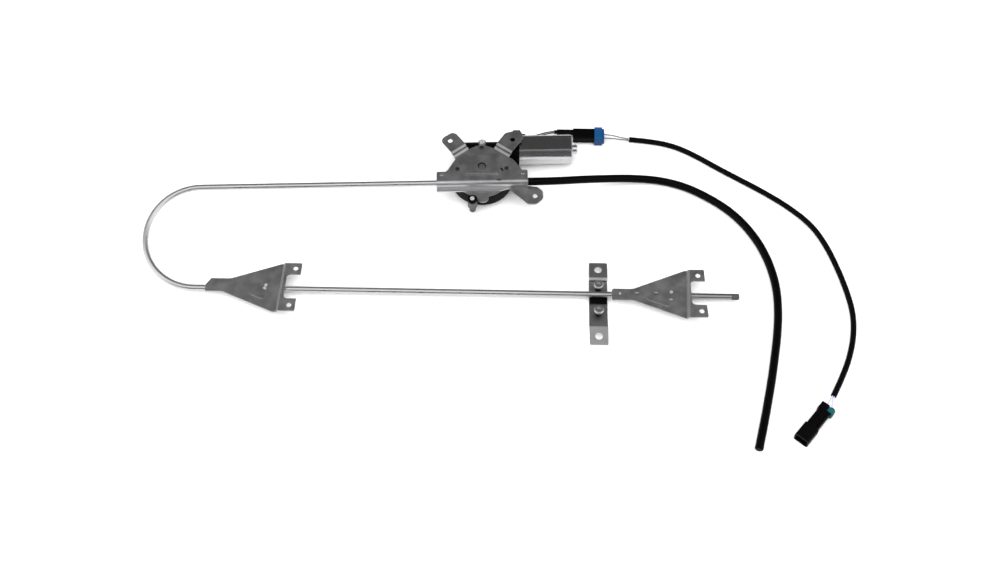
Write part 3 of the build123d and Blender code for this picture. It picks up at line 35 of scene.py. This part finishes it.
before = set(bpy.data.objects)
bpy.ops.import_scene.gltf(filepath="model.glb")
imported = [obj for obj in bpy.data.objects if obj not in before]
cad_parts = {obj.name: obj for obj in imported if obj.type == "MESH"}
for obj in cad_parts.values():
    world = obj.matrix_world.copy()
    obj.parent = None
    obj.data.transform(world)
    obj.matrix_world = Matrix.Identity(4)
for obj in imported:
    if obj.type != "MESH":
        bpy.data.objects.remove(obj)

# ---------------------------------------------------------------- cord routes
# control points in metres, in the same order as the solids follow them
HOSE_ROUTE = (
    (0.1159, 0.0716, 0.0330), (0.1519, 0.0731, 0.0330), (0.1880, 0.0810, 0.0264),
    (0.2240, 0.0898, 0.0168), (0.2600, 0.0968, 0.0082), (0.2960, 0.0960, 0.0054),
    (0.3277, 0.0871, 0.0054), (0.3563, 0.0718, 0.0054), (0.3846, 0.0513, 0.0054),
    (0.4064, 0.0274, 0.0054), (0.4247, -0.0030, 0.0054), (0.4367, -0.0364, 0.0054),
    (0.4428, -0.0727, 0.0054), (0.4420, -0.1096, 0.0054), (0.4379, -0.1435, 0.0054),
    (0.4322, -0.1749, 0.0054), (0.4263, -0.2058, 0.0054), (0.4195, -0.2362, 0.0054),
    (0.4126, -0.2661, 0.0054), (0.4054, -0.2946, 0.0054))
SLEEVE_ROUTE = (
    (0.2557, 0.1650, 0.0037), (0.2830, 0.1626, 0.0037), (0.3157, 0.1556, 0.0037),
    (0.3447, 0.1404, 0.0037), (0.3739, 0.1202, 0.0037), (0.4025, 0.1020, 0.0037),
    (0.4337, 0.0823, 0.0037), (0.4672, 0.0581, 0.0037), (0.4969, 0.0292, 0.0037),
    (0.5140, -0.0037, 0.0037), (0.5260, -0.0405, 0.0037), (0.5350, -0.0765, 0.0037),
    (0.5393, -0.1088, 0.0037), (0.5363, -0.1407, 0.0037), (0.5276, -0.1722, 0.0037),
    (0.5149, -0.2016, 0.0037), (0.5025, -0.2256, 0.0037))
PIGTAIL_ROUTES = (
    ((0.1080, 0.1595, 0.0155), (0.1198, 0.1600, 0.0155), (0.1280, 0.1652, 0.0100),
     (0.1410, 0.1719, 0.0082), (0.1511, 0.1733, 0.0085)),
    ((0.1082, 0.1563, 0.0155), (0.1200, 0.1568, 0.0155), (0.1280, 0.1624, 0.0100),
     (0.1410, 0.1693, 0.0082), (0.1511, 0.1709, 0.0085)))
HARNESS_ROUTES = (
    ((0.2210, 0.1693, 0.0085), (0.2317, 0.1690, 0.0076), (0.2437, 0.1674, 0.0049),
     (0.2551, 0.1661, 0.0037)),
    ((0.2210, 0.1629, 0.0085), (0.2317, 0.1636, 0.0076), (0.2437, 0.1640, 0.0049),
     (0.2551, 0.1639, 0.0037)))
END_ROUTES = (
    ((0.5034, -0.2264, 0.0037), (0.5011, -0.2309, 0.0046), (0.4995, -0.2412, 0.0076),
     (0.4963, -0.2450, 0.0084)),
    ((0.5013, -0.2253, 0.0037), (0.4990, -0.2298, 0.0046), (0.4942, -0.2368, 0.0076),
     (0.4911, -0.2407, 0.0084)))

# pieces by finish
SHEET_NODES = ("left_bracket", "right_bracket", "lower_arm", "clamp_straps", "housing_cover")
FASTENER_NODES = ("clamp_rivets", "carriage_studs", "gear_axle", "cable_ferrule")
TUBE_NODES = ("guide_tube", "spare_tube_sleeve", "rack_cable")
GEAR_NODES = ("output_pinion", "armature_shaft", "armature_core")
BLACK_NODES = ("gear_housing", "slide_shoe", "stud_spacers", "harness_connector", "wheel_damper",
               "shaft_seal", "wire_grommet", "spare_tube_cap")
INNER_NODES = {"nylon": ("cable_guide", "worm_wheel", "thrust_pad"),
               "copper": ("armature_windings", "commutator", "end_terminals"),
               "bronze": ("worm_end_bearing", "front_bearing", "rear_bearing"),
               "ferrite": ("magnets", "brushes", "brush_card")}
# colour, metallic and roughness of the inner pieces
INNER_LOOKS = {"nylon": ((0.72, 0.70, 0.62), 0.0, 0.5), "copper": ((0.75, 0.32, 0.16), 1.0, 0.35),
               "bronze": ((0.55, 0.36, 0.17), 1.0, 0.4), "ferrite": ((0.05, 0.05, 0.055), 0.0, 0.6)}

# picture
PICTURE = (1000, 584)
SENSOR = 36                # millimetres, which the lens is stated for
CAMERA_REACH = 20

# places of marks and changes of colour, in metres of the frame; of a band's four numbers the first
# two are where it starts and is full, and the last two where it begins to fade and ends
FOLDS = ((-0.2027, -3.6), (0.3256, -1.9))       # x of a bracket's fold, and its lean in degrees
BRACKET_Y = -0.0874                             # where a fold crosses that x, along Y
FOLD_HALF = (0.0014, 0.0022)                    # half width of a fold's painted highlight along its ramp, fading between the two
WELDS = ((-0.2229, -0.0852), (-0.2241, -0.0898), (0.3037, -0.0852))
WELD_HALO = (0.0019, 0.0027)                    # bright ring of a weld, fading between the two
LIP = (0.0540, 0.0555, 0.0635, 0.066)           # the drive plate's curled edge, painted brighter as a highlight, along Y
LIP_END = (0.088, 0.096)                        # where it stops, along X
LOW_FLANGE = (-0.137, -0.131)                   # the lift plate's lower end, painted bright as a highlight, along Y
RAMP = (-0.0638, -0.0632, -0.0620, -0.0616)     # the slope below its upper end, painted as a highlight, along Y
TUBE_FADE = (0.02, 0.36)                        # where the tube turns darker, along X
CASE_FLAT = (0.028, 0.036)                      # where the motor case turns from a painted highlight low on its sides to painted shade on its flat top, along Z
BOSS = (0.0420, 0.0437)                         # boss of the gear housing, with a lighter patch low down
BOSS_HALF = (0.0062, 0.0068)                    # its radius, fading between the two
BOSS_TOP = (0.0265, 0.0285)                     # where the lighter patch ends, along Z
SEAL_TOP = (0.1700, 0.1740)                     # the blue seal's far side, along Y

# weave of the sleeve: how fast a thread's wave runs along the cord and round it
THREADS = 900.0
TURNS = 50.3

# stage: the room's brightness by direction, and the lamp; a direction's parts run from -1 to 1
HORIZON = (-0.3, 0.3)                           # from the camera's side to the far side
OVERHEAD_BAND = (-0.72, -0.48, 0.0, 0.36)       # the brighter part on the camera's side
SIDES = (0.35, 0.70)                            # towards the left and right
SIDES_TOP = (0.6, 0.9)                          # where the sides' light ends upwards
FLOOR_SIZE = 40
LAMP_ANGLE = 2.0                                # radians: a wide, soft source
LAMP_PLACE = (-0.2, -0.6, 2.2)
LAMP_AIM = (0.05, 0, 0)


# ---------------------------------------------------------------- shader writing
class Signal:
    """One shader output; arithmetic on it adds math nodes to its tree."""

    def __init__(self, tree, socket):
        self.tree = tree
        self.socket = socket

    def node(self, kind, settings=None, inputs=None, output=0):
        """Adds any node, with its settings and inputs by name or number, and gives one output."""
        made = self.tree.nodes.new(kind)
        for name, value in (settings or {}).items():
            setattr(made, name, value)
        for name, value in (inputs or {}).items():
            if isinstance(value, Signal):
                self.tree.links.new(value.socket, made.inputs[name])
            else:
                made.inputs[name].default_value = value
        return Signal(self.tree, made.outputs[output])

    def maths(self, operation, *values):
        """A math node on the given values, in their order."""
        return self.node("ShaderNodeMath", {"operation": operation}, dict(enumerate(values)))

    def __add__(self, other):
        return self.maths("ADD", self, other)

    def __sub__(self, other):
        return self.maths("SUBTRACT", self, other)

    def __rsub__(self, other):
        return self.maths("SUBTRACT", other, self)

    def __mul__(self, other):
        return self.maths("MULTIPLY", self, other)

    def __pow__(self, other):
        return self.maths("POWER", self, other)

    def unsigned(self):
        """This value without its sign."""
        return self.maths("ABSOLUTE", self)

    def sine(self):
        return self.maths("SINE", self)

    def most(self, other):
        """The larger of this value and another."""
        return self.maths("MAXIMUM", self, other)

    def part(self, axis):
        """One of the three parts of a direction or a place."""
        return self.node("ShaderNodeSeparateXYZ", {}, {"Vector": self}, output="XYZ".index(axis))

    def between(self, low, high, start=0.0, end=1.0):
        """This value, eased from one range to another and held at its ends."""
        return self.node("ShaderNodeMapRange", {"interpolation_type": "SMOOTHSTEP"},
                         {"Value": self, "From Min": low, "From Max": high, "To Min": start, "To Max": end})


def new_finish(name, colour, metallic=0.0, roughness=0.5, specular=0.5):
    """A material with its uniform values set; gives it, its main shader and a place to write from."""
    material = bpy.data.materials.new(name)
    material.use_nodes = True
    main = material.node_tree.nodes["Principled BSDF"]
    main.inputs["Base Color"].default_value = (*colour, 1)
    main.inputs["Metallic"].default_value = metallic
    main.inputs["Roughness"].default_value = roughness
    main.inputs["Specular IOR Level"].default_value = specular
    place = Signal(material.node_tree, None).node("ShaderNodeTexCoord", output=3)
    return material, main, place


def feed(main, name, signal):
    """Joins a signal to one input of the main shader."""
    signal.tree.links.new(signal.socket, main.inputs[name])


def noise(place, scale, detail=3.0, roughness=0.5, stretch=(1, 1, 1)):
    """Noise over a place, stretched along its axes."""
    mapped = place.node("ShaderNodeMapping", {}, {"Vector": place, "Scale": stretch})
    return place.node("ShaderNodeTexNoise", {}, {"Vector": mapped, "Scale": scale, "Detail": detail,
                                                 "Roughness": roughness})


def tint(place, factor, low, high):
    """A colour between two colours."""
    return place.node("ShaderNodeMix", {"data_type": "RGBA"},
                      {0: factor, 6: (*low, 1), 7: (*high, 1)}, output=2)


def blend(factor, signal, colour):
    """A changing colour, turned to one even colour where the factor is 1."""
    return signal.node("ShaderNodeMix", {"data_type": "RGBA"},
                       {0: factor, 6: signal, 7: (*colour, 1)}, output=2)


def shade(colour, share):
    """A darker or brighter version of a colour."""
    return [part * share for part in colour]


def relief(place, height, strength, distance, edge=0.0):
    """Bump from a height, over edges rounded by a small radius."""
    inputs = {"Height": height, "Strength": strength, "Distance": distance}
    if edge:
        inputs["Normal"] = place.node("ShaderNodeBevel", {"samples": 4}, {"Radius": edge})
    return place.node("ShaderNodeBump", {}, inputs)


def near(place, x, y, inner, outer):
    """1 around an upright axis, and 0 away from it."""
    across, along = place.part("X") - x, place.part("Y") - y
    return 1.0 - ((across * across + along * along) ** 0.5).between(inner, outer)


def band(value, start, full, fading, end):
    """1 along a band of a value, eased at both of its edges, and 0 outside it."""
    return value.between(start, full) * (1.0 - value.between(fading, end))


def wear(obj, material):
    """Gives a piece its finish, in its one material slot."""
    obj.data.materials.clear()
    obj.data.materials.append(material)


def finish_nodes(names, material, edge_angle=34):
    """Puts one finish on CAD pieces, smooth across their curved faces."""
    for name in names:
        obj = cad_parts[name]
        wear(obj, material)
        obj.data.polygons.foreach_set("use_smooth", [True] * len(obj.data.polygons))
        obj.data.set_sharp_from_angle(angle=math.radians(edge_angle))


# ---------------------------------------------------------------- settings
class RegulatorView(bpy.types.PropertyGroup):
    """Camera and picture."""
    place: bpy.props.FloatVectorProperty(name="Camera", description="Where the camera stands", size=3,
                                         subtype="TRANSLATION", unit="LENGTH",
                                         default=(0.1006, -1.0366, 1.6554))
    target: bpy.props.FloatVectorProperty(name="Target", description="What the camera looks at", size=3,
                                          subtype="TRANSLATION", unit="LENGTH",
                                          default=(0.0815, -0.0868, 0.010))
    lens: bpy.props.FloatProperty(name="Lens", description="Focal length in millimetres on a 36 mm sensor",
                                  default=52.6, min=10, max=300)


class RegulatorCords(bpy.types.PropertyGroup):
    """Cords and their thickness."""
    hose: bpy.props.FloatProperty(name="Hose", description="Outside diameter of the spare cable tube",
                                  default=0.0107, min=0.004, unit="LENGTH")
    sleeve: bpy.props.FloatProperty(name="Sleeve", description="Outside diameter of the harness sleeve",
                                    default=0.0074, min=0.003, unit="LENGTH")
    wire: bpy.props.FloatProperty(name="Wire", description="Diameter of one insulated wire",
                                  default=0.0018, min=0.001, unit="LENGTH")


class RegulatorFinish(bpy.types.PropertyGroup):
    """Finish of the metal and the plastic."""
    steel: bpy.props.FloatVectorProperty(name="Sheet steel", description="Colour of the plated sheet", size=3,
                                         subtype="COLOR", default=(0.44, 0.44, 0.445), min=0, max=1)
    tube: bpy.props.FloatVectorProperty(name="Tube", description="Colour of the guide tube", size=3,
                                        subtype="COLOR", default=(0.66, 0.66, 0.67), min=0, max=1)
    can: bpy.props.FloatVectorProperty(name="Motor case", description="Colour of the motor case", size=3,
                                       subtype="COLOR", default=(0.42, 0.42, 0.43), min=0, max=1)
    black: bpy.props.FloatVectorProperty(name="Black", description="Colour of the black plastic", size=3,
                                         subtype="COLOR", default=(0.0009, 0.0009, 0.0010), min=0, max=1)
    edge: bpy.props.FloatProperty(name="Edge", description="Radius that softens sharp edges in the light",
                                  default=0.0004, min=0, unit="LENGTH")


class RegulatorStage(bpy.types.PropertyGroup):
    """Light and surroundings."""
    near_sky: bpy.props.FloatProperty(name="Near sky", default=0.15, min=0,
                                      description="Brightness of the room behind the camera")
    high_sky: bpy.props.FloatProperty(name="High sky", default=1.10, min=0,
                                      description="Brightness added overhead, on the camera's side")
    side_sky: bpy.props.FloatProperty(name="Side sky", default=0.40, min=0,
                                      description="Brightness of the room low at the left and right")
    far_sky: bpy.props.FloatProperty(name="Far sky", description="Brightness of the room on the far side",
                                     default=0.14, min=0)
    floor: bpy.props.FloatProperty(name="Floor", description="How white the surface is to the camera",
                                   default=0.97, min=0, max=1)
    floor_glow: bpy.props.FloatProperty(name="Floor glow", default=0.72, min=0, max=1,
                                        description="How white the surface is in reflections")
    lamp: bpy.props.FloatProperty(name="Lamp", description="Strength of the soft light from overhead",
                                  default=3.4, min=0)


GROUPS = {"regulator_view": RegulatorView, "regulator_cords": RegulatorCords,
          "regulator_finish": RegulatorFinish, "regulator_stage": RegulatorStage}


# ---------------------------------------------------------------- cords
def run_curve(name, routes, diameter, material):
    """A round cord along one or more routes, as a curve with thickness."""
    data = bpy.data.curves.new(name, "CURVE")
    data.dimensions = "3D"
    data.bevel_depth = diameter / 2
    data.bevel_resolution = 5
    data.resolution_u = 10
    data.use_fill_caps = True
    for route in routes:
        spline = data.splines.new("NURBS")
        spline.points.add(len(route) - 1)
        for point, place in zip(spline.points, route):
            point.co = (*place, 1)
        spline.order_u = 3
        spline.use_endpoint_u = True
    obj = bpy.data.objects.new(name, data)
    bpy.context.scene.collection.objects.link(obj)
    data.materials.append(material)
    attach(obj, "frame")
    return obj


class REGULATOR_OT_view(bpy.types.Operator):
    """Set the camera and the picture"""
    bl_idname = "regulator.view"
    bl_label = "Camera"

    def execute(self, context):
        view = context.scene.regulator_view
        data = bpy.data.cameras.new("camera")
        data.lens = view.lens
        data.sensor_width = SENSOR
        data.clip_end = CAMERA_REACH
        camera = bpy.data.objects.new("camera", data)
        context.scene.collection.objects.link(camera)
        camera.location = view.place
        away = Vector(view.target) - Vector(view.place)
        camera.rotation_euler = away.to_track_quat("-Z", "Y").to_euler()
        context.scene.camera = camera
        context.scene.render.resolution_x, context.scene.render.resolution_y = PICTURE
        context.scene.view_settings.view_transform = "Standard"
        return {"FINISHED"}


class REGULATOR_OT_cords(bpy.types.Operator):
    """Lay the hose, the harness sleeve and the wires"""
    bl_idname = "regulator.cords"
    bl_label = "Cords"

    def execute(self, context):
        sizes = context.scene.regulator_cords
        finish = context.scene.regulator_finish
        hose_skin, main, place = new_finish("hose", finish.black, roughness=0.40, specular=0.06)
        feed(main, "Roughness", noise(place, 90.0).between(0.3, 0.7, 0.34, 0.48))
        hose = run_curve("spare_tube_skin", (HOSE_ROUTE,), sizes.hose, hose_skin)
        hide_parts("spare_tube")

        sleeve_skin = self.braid(finish.black)
        sleeve = run_curve("harness_sleeve_skin", (SLEEVE_ROUTE,), sizes.sleeve, sleeve_skin)
        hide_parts("harness_sleeve")

        grey = new_finish("grey_wire", (0.16, 0.16, 0.17), roughness=0.45, specular=0.2)[0]
        dark = new_finish("motor_wire", (0.03, 0.03, 0.032), roughness=0.45, specular=0.2)[0]
        pale = new_finish("pale_wire", (0.60, 0.58, 0.78), roughness=0.4)[0]
        wires = {}
        for kind, routes, skin in (("pigtail", PIGTAIL_ROUTES, dark), ("harness", HARNESS_ROUTES, grey)):
            for letter, route in zip("ab", routes):
                node = f"{kind}_wire_{letter}"
                wire = run_curve(node + "_skin", (route,), sizes.wire, skin)
                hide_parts(node)
                wires[f"{kind}_{letter}"] = wire
        ends = run_curve("end_wires_skin", END_ROUTES, sizes.wire, pale)
        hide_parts("end_wires")
        for letter, route in zip("ab", HARNESS_ROUTES):
            wire = wires["harness_" + letter]
        return {"FINISHED"}

    def braid(self, colour):
        """Black woven sleeve: two families of slanted threads over the cord's own surface."""
        material, main, place = new_finish("woven_sleeve", colour, roughness=0.62, specular=0.08)
        along = place.node("ShaderNodeTexCoord", output=2)
        u, v = along.part("X"), along.part("Y")
        first = (u * THREADS + v * TURNS).sine()
        second = (u * THREADS - v * TURNS).sine()
        weave = first.most(second)
        feed(main, "Normal", relief(place, weave, 0.5, 0.0004))
        feed(main, "Roughness", weave.between(-0.2, 1.0, 0.8, 0.5))
        return material


# ---------------------------------------------------------------- finishes
class REGULATOR_OT_metal(bpy.types.Operator):
    """Finish the sheet steel, tube, fasteners and motor case"""
    bl_idname = "regulator.metal"
    bl_label = "Metal"

    def execute(self, context):
        finish = context.scene.regulator_finish
        self.sheet(finish)
        self.drive_plate(finish)
        self.lift_plate(finish)
        self.tube(finish)
        self.fasteners(finish)
        self.gears(finish)
        self.motor_case(finish)
        return {"FINISHED"}

    def sheet(self, finish):
        """Brackets, arm, straps and cover, with painted highlights on the ramps of the brackets' folds, and
        bright welds.
        """
        sheet, main, place = new_finish("plated_sheet", finish.steel, 1.0, 0.42)
        cloud = noise(place, 60.0, 4.0, 0.6)
        grain = noise(place, 900.0, 2.0, 0.6, (1.0, 0.35, 1.0))
        dull = self.mottled(place, cloud, finish.steel)
        # painted highlights along the ramps of the brackets' folds
        folds = self.fold(place, *FOLDS[0]) + self.fold(place, *FOLDS[1])
        first, second, third = (near(place, x, y, *WELD_HALO) for x, y in WELDS)
        halo = first + second + third
        feed(main, "Base Color", blend(halo, blend(folds, dull, (0.50, 0.50, 0.505)), (0.90, 0.90, 0.90)))
        rough = cloud * 0.22 + grain * 0.16 + 0.22
        feed(main, "Roughness", rough.most((folds + halo) * 0.8))
        feed(main, "Normal", relief(place, grain * 0.6 + cloud * 0.4, 0.12, 0.0006, finish.edge))
        finish_nodes(SHEET_NODES, sheet)

    def drive_plate(self, finish):
        """Drive plate, with a painted highlight along its curled edge."""
        plate, main, place = new_finish("bright_lip_sheet", finish.steel, 1.0, 0.40)
        cloud = noise(place, 60.0, 4.0, 0.6)
        # painted highlight along the curled edge
        lip = band(place.part("Y"), *LIP) * (1.0 - place.part("X").between(*LIP_END))
        dull = self.mottled(place, cloud, finish.steel)
        feed(main, "Base Color", blend(lip, dull, (0.62, 0.62, 0.63)))
        feed(main, "Roughness", cloud * 0.22 + 0.28)
        feed(main, "Normal", relief(place, cloud, 0.1, 0.0006, finish.edge))
        finish_nodes(("drive_plate",), plate)

    def lift_plate(self, finish):
        """Lift plate, with its lower end painted bright as a highlight against a darker rest, and a painted
        highlight on the slope.
        """
        lift, main, place = new_finish("lift_sheet", finish.steel, 1.0, 0.42)
        cloud = noise(place, 60.0, 4.0, 0.6)
        along = place.part("Y")
        # painted highlights: the slope below the upper end, and the lower end against a darker rest of the
        # plate
        ramp = band(along, *RAMP)
        flat = tint(place, 1.0 - along.between(*LOW_FLANGE), shade(finish.steel, 0.8), (0.95, 0.95, 0.96))
        feed(main, "Base Color", blend(ramp, flat, (0.90, 0.90, 0.91)))
        rough = cloud * 0.2 + 0.3
        feed(main, "Roughness", rough.most(ramp * 0.85))
        feed(main, "Normal", relief(place, cloud, 0.1, 0.0006, finish.edge))
        finish_nodes(("lift_plate",), lift)

    def tube(self, finish):
        """Guide tube, sleeve and cable, rubbed along their length."""
        tube, main, place = new_finish("plated_tube", finish.tube, 1.0, 0.28)
        rub = noise(place, 260.0, 3.0, 0.6, (0.15, 1.0, 1.0))
        far_end = place.part("X").between(*TUBE_FADE)
        feed(main, "Base Color", tint(place, far_end, finish.tube, shade(finish.tube, 0.55)))
        feed(main, "Roughness", rub.between(0.3, 0.7, 0.26, 0.38))
        feed(main, "Normal", relief(place, rub, 0.06, 0.0003))
        finish_nodes(TUBE_NODES, tube)

    def fasteners(self, finish):
        """Studs and rivets, light welds and screws, and the dark screws of the plate."""
        bright, main, place = new_finish("plated_fastener", (0.55, 0.55, 0.55), 1.0, 0.3)
        feed(main, "Normal", relief(place, noise(place, 500.0), 0.08, 0.0003, finish.edge))
        finish_nodes(FASTENER_NODES, bright)

        weld, main, place = new_finish("weld_steel", (0.96, 0.96, 0.96), 1.0, 0.62)
        feed(main, "Normal", relief(place, noise(place, 400.0), 0.1, 0.0003, finish.edge))
        finish_nodes(("bracket_welds",), weld)
        finish_nodes(("cover_screws",), weld)

        dark, main, place = new_finish("dark_fastener", (0.10, 0.10, 0.105), 1.0, 0.42)
        feed(main, "Normal", relief(place, noise(place, 500.0), 0.08, 0.0003, finish.edge))
        finish_nodes(("plate_screws", "front_bushing"), dark)

    def gears(self, finish):
        """Pinion and armature."""
        gear, main, place = new_finish("machined_steel", (0.42, 0.42, 0.43), 1.0, 0.32)
        feed(main, "Normal", relief(place, noise(place, 700.0), 0.05, 0.0002, finish.edge / 2))
        finish_nodes(GEAR_NODES, gear)

    def motor_case(self, finish):
        """Motor case, with a painted highlight low on its sides and painted shade on its flat top."""
        can, main, place = new_finish("motor_case", finish.can, 1.0, 0.34)
        drawn = noise(place, 420.0, 3.0, 0.6, (0.12, 1.0, 1.0))
        spots = noise(place, 45.0, 3.0, 0.55)
        # painted highlight low on the sides, painted shade on the flat top
        flat = place.part("Z").between(*CASE_FLAT)
        feed(main, "Base Color", tint(place, flat, shade(finish.can, 1.65), shade(finish.can, 0.72)))
        feed(main, "Roughness", drawn * 0.16 + spots * 0.10 + 0.12)
        feed(main, "Normal", relief(place, drawn, 0.08, 0.0004, 0.0006))
        finish_nodes(("motor_can",), can)

    def mottled(self, place, cloud, steel):
        """Plated steel, darker and brighter in soft patches."""
        return tint(place, cloud.between(0.3, 0.72), shade(steel, 0.80), shade(steel, 1.12))

    def fold(self, place, x, lean):
        """1 along the ramp of a bracket's fold, where a highlight is painted, and 0 away from it."""
        turn = math.radians(lean)
        across = (place.part("X") - x) * math.cos(turn) + (place.part("Y") - BRACKET_Y) * math.sin(turn)
        return 1.0 - across.unsigned().between(*FOLD_HALF)


class REGULATOR_OT_plastic(bpy.types.Operator):
    """Finish the plastic, rubber and inner pieces"""
    bl_idname = "regulator.plastic"
    bl_label = "Plastic"

    def execute(self, context):
        finish = context.scene.regulator_finish
        self.black(finish)
        self.connectors()
        self.inner()
        return {"FINISHED"}

    def black(self, finish):
        """Black plastic and rubber, with a lighter grey patch low on the boss of the housing."""
        black, main, place = new_finish("moulded_black", finish.black, roughness=0.46, specular=0.06)
        grain = noise(place, 1400.0, 2.0)
        # a lighter grey patch on the boss, below a height
        pale_boss_patch = near(place, *BOSS, *BOSS_HALF) * (1.0 - place.part("Z").between(*BOSS_TOP))
        feed(main, "Base Color", tint(place, pale_boss_patch, finish.black, (0.13, 0.13, 0.13)))
        feed(main, "Roughness", grain.between(0.3, 0.7, 0.38, 0.56))
        feed(main, "Normal", relief(place, grain, 0.15, 0.0002, finish.edge * 1.5))
        for name in BLACK_NODES:
            finish_nodes((name,), black)

    def connectors(self):
        """Seals, connectors and the tube's end plug."""
        for name, colour, nodes, rough in (
                ("blue_moulding", (0.003, 0.052, 0.15), ("harness_connector_seal",), 0.42),
                ("teal_moulding", (0.006, 0.080, 0.092), ("end_connector_seal",), 0.42),
                ("dark_moulding", (0.0014, 0.0013, 0.0014), ("end_connector", "motor_connector"), 0.36),
                ("plug_moulding", (0.060, 0.060, 0.060), ("tube_end_plug",), 0.50)):
            specular = 0.07 if rough < 0.4 else 0.2
            material, main, place = new_finish(name, colour, roughness=rough, specular=specular)
            grain = noise(place, 1100.0, 2.0)
            feed(main, "Roughness", grain.between(0.3, 0.7, rough - 0.07, rough + 0.08))
            feed(main, "Normal", relief(place, grain, 0.1, 0.0002, 0.0006))
            if name == "blue_moulding":
                top = place.part("Y").between(*SEAL_TOP)
                feed(main, "Base Color", tint(place, top, colour, (0.020, 0.050, 0.20)))
            finish_nodes(nodes, material)

    def inner(self):
        """Pieces inside the drive and the connector."""
        for name, (colour, metallic, rough) in INNER_LOOKS.items():
            material, main, place = new_finish(name, colour, metallic, rough)
            feed(main, "Normal", relief(place, noise(place, 800.0), 0.08, 0.0002, 0.0002))
            for node in INNER_NODES[name]:
                finish_nodes((node,), material)


# ---------------------------------------------------------------- stage
class REGULATOR_OT_stage(bpy.types.Operator):
    """Set the floor, the sky and the lamp"""
    bl_idname = "regulator.stage"
    bl_label = "Stage"

    def execute(self, context):
        stage = context.scene.regulator_stage
        bpy.ops.mesh.primitive_plane_add(size=FLOOR_SIZE, location=(0, 0, 0))
        floor = context.active_object
        floor.name = "floor"
        white, main, place = new_finish("white_floor", (stage.floor,) * 3, roughness=0.9, specular=0.1)
        seen = place.node("ShaderNodeLightPath", output=0)
        feed(main, "Base Color", tint(place, seen, (stage.floor_glow,) * 3, (stage.floor,) * 3))
        floor.data.materials.append(white)
        self.sky(stage)
        lamp = bpy.data.lights.new("overhead", "SUN")
        lamp.angle = LAMP_ANGLE
        lamp.energy = stage.lamp
        overhead = bpy.data.objects.new("overhead", lamp)
        overhead.visible_glossy = False
        context.scene.collection.objects.link(overhead)
        overhead.location = LAMP_PLACE
        away = Vector(LAMP_AIM) - overhead.location
        overhead.rotation_euler = away.to_track_quat("-Z", "Y").to_euler()
        return {"FINISHED"}

    def sky(self, stage):
        """White to the camera, and brighter on the camera's side than on the far side to all else."""
        world = bpy.data.worlds.new("sky")
        bpy.context.scene.world = world
        world.use_nodes = True
        tree = world.node_tree
        tree.nodes.clear()
        start = Signal(tree, None)
        direction = start.node("ShaderNodeTexCoord", output=0)
        seen = start.node("ShaderNodeLightPath", output=0)
        aside, toward, up = direction.part("X"), direction.part("Y"), direction.part("Z")
        room = toward.between(*HORIZON, stage.near_sky, stage.far_sky)
        above = band(toward, *OVERHEAD_BAND)
        sides = aside.unsigned().between(*SIDES) * (1.0 - up.between(*SIDES_TOP))
        strength = (room + above * stage.high_sky).most(sides * stage.side_sky)
        shown = strength + seen * (1.0 - strength)
        back = start.node("ShaderNodeBackground", {}, {"Color": (1, 1, 1, 1), "Strength": shown})
        end = tree.nodes.new("ShaderNodeOutputWorld")
        tree.links.new(back.socket, end.inputs["Surface"])


class REGULATOR_PT_panel(bpy.types.Panel):
    """Each piece of the regulator's scene, in order"""
    bl_label = "Window regulator"
    bl_idname = "REGULATOR_PT_panel"
    bl_space_type = "VIEW_3D"
    bl_region_type = "UI"
    bl_category = "Regulator"

    def draw(self, context):
        for operator in OPERATORS:
            self.layout.operator(operator.bl_idname)


OPERATORS = (REGULATOR_OT_view, REGULATOR_OT_cords, REGULATOR_OT_metal, REGULATOR_OT_plastic,
             REGULATOR_OT_stage)
CLASSES = tuple(GROUPS.values()) + OPERATORS + (REGULATOR_PT_panel,)


def register():
    for cls in CLASSES:
        bpy.utils.register_class(cls)
    for name, group in GROUPS.items():
        setattr(bpy.types.Scene, name, bpy.props.PointerProperty(type=group))


def unregister():
    for name in GROUPS:
        delattr(bpy.types.Scene, name)
    for cls in reversed(CLASSES):
        bpy.utils.unregister_class(cls)


def main():
    register()
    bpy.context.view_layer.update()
    bpy.ops.regulator.view()
    bpy.ops.regulator.cords()
    bpy.ops.regulator.metal()
    bpy.ops.regulator.plastic()
    bpy.ops.regulator.stage()
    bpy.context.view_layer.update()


if __name__ == "__main__":
    main()
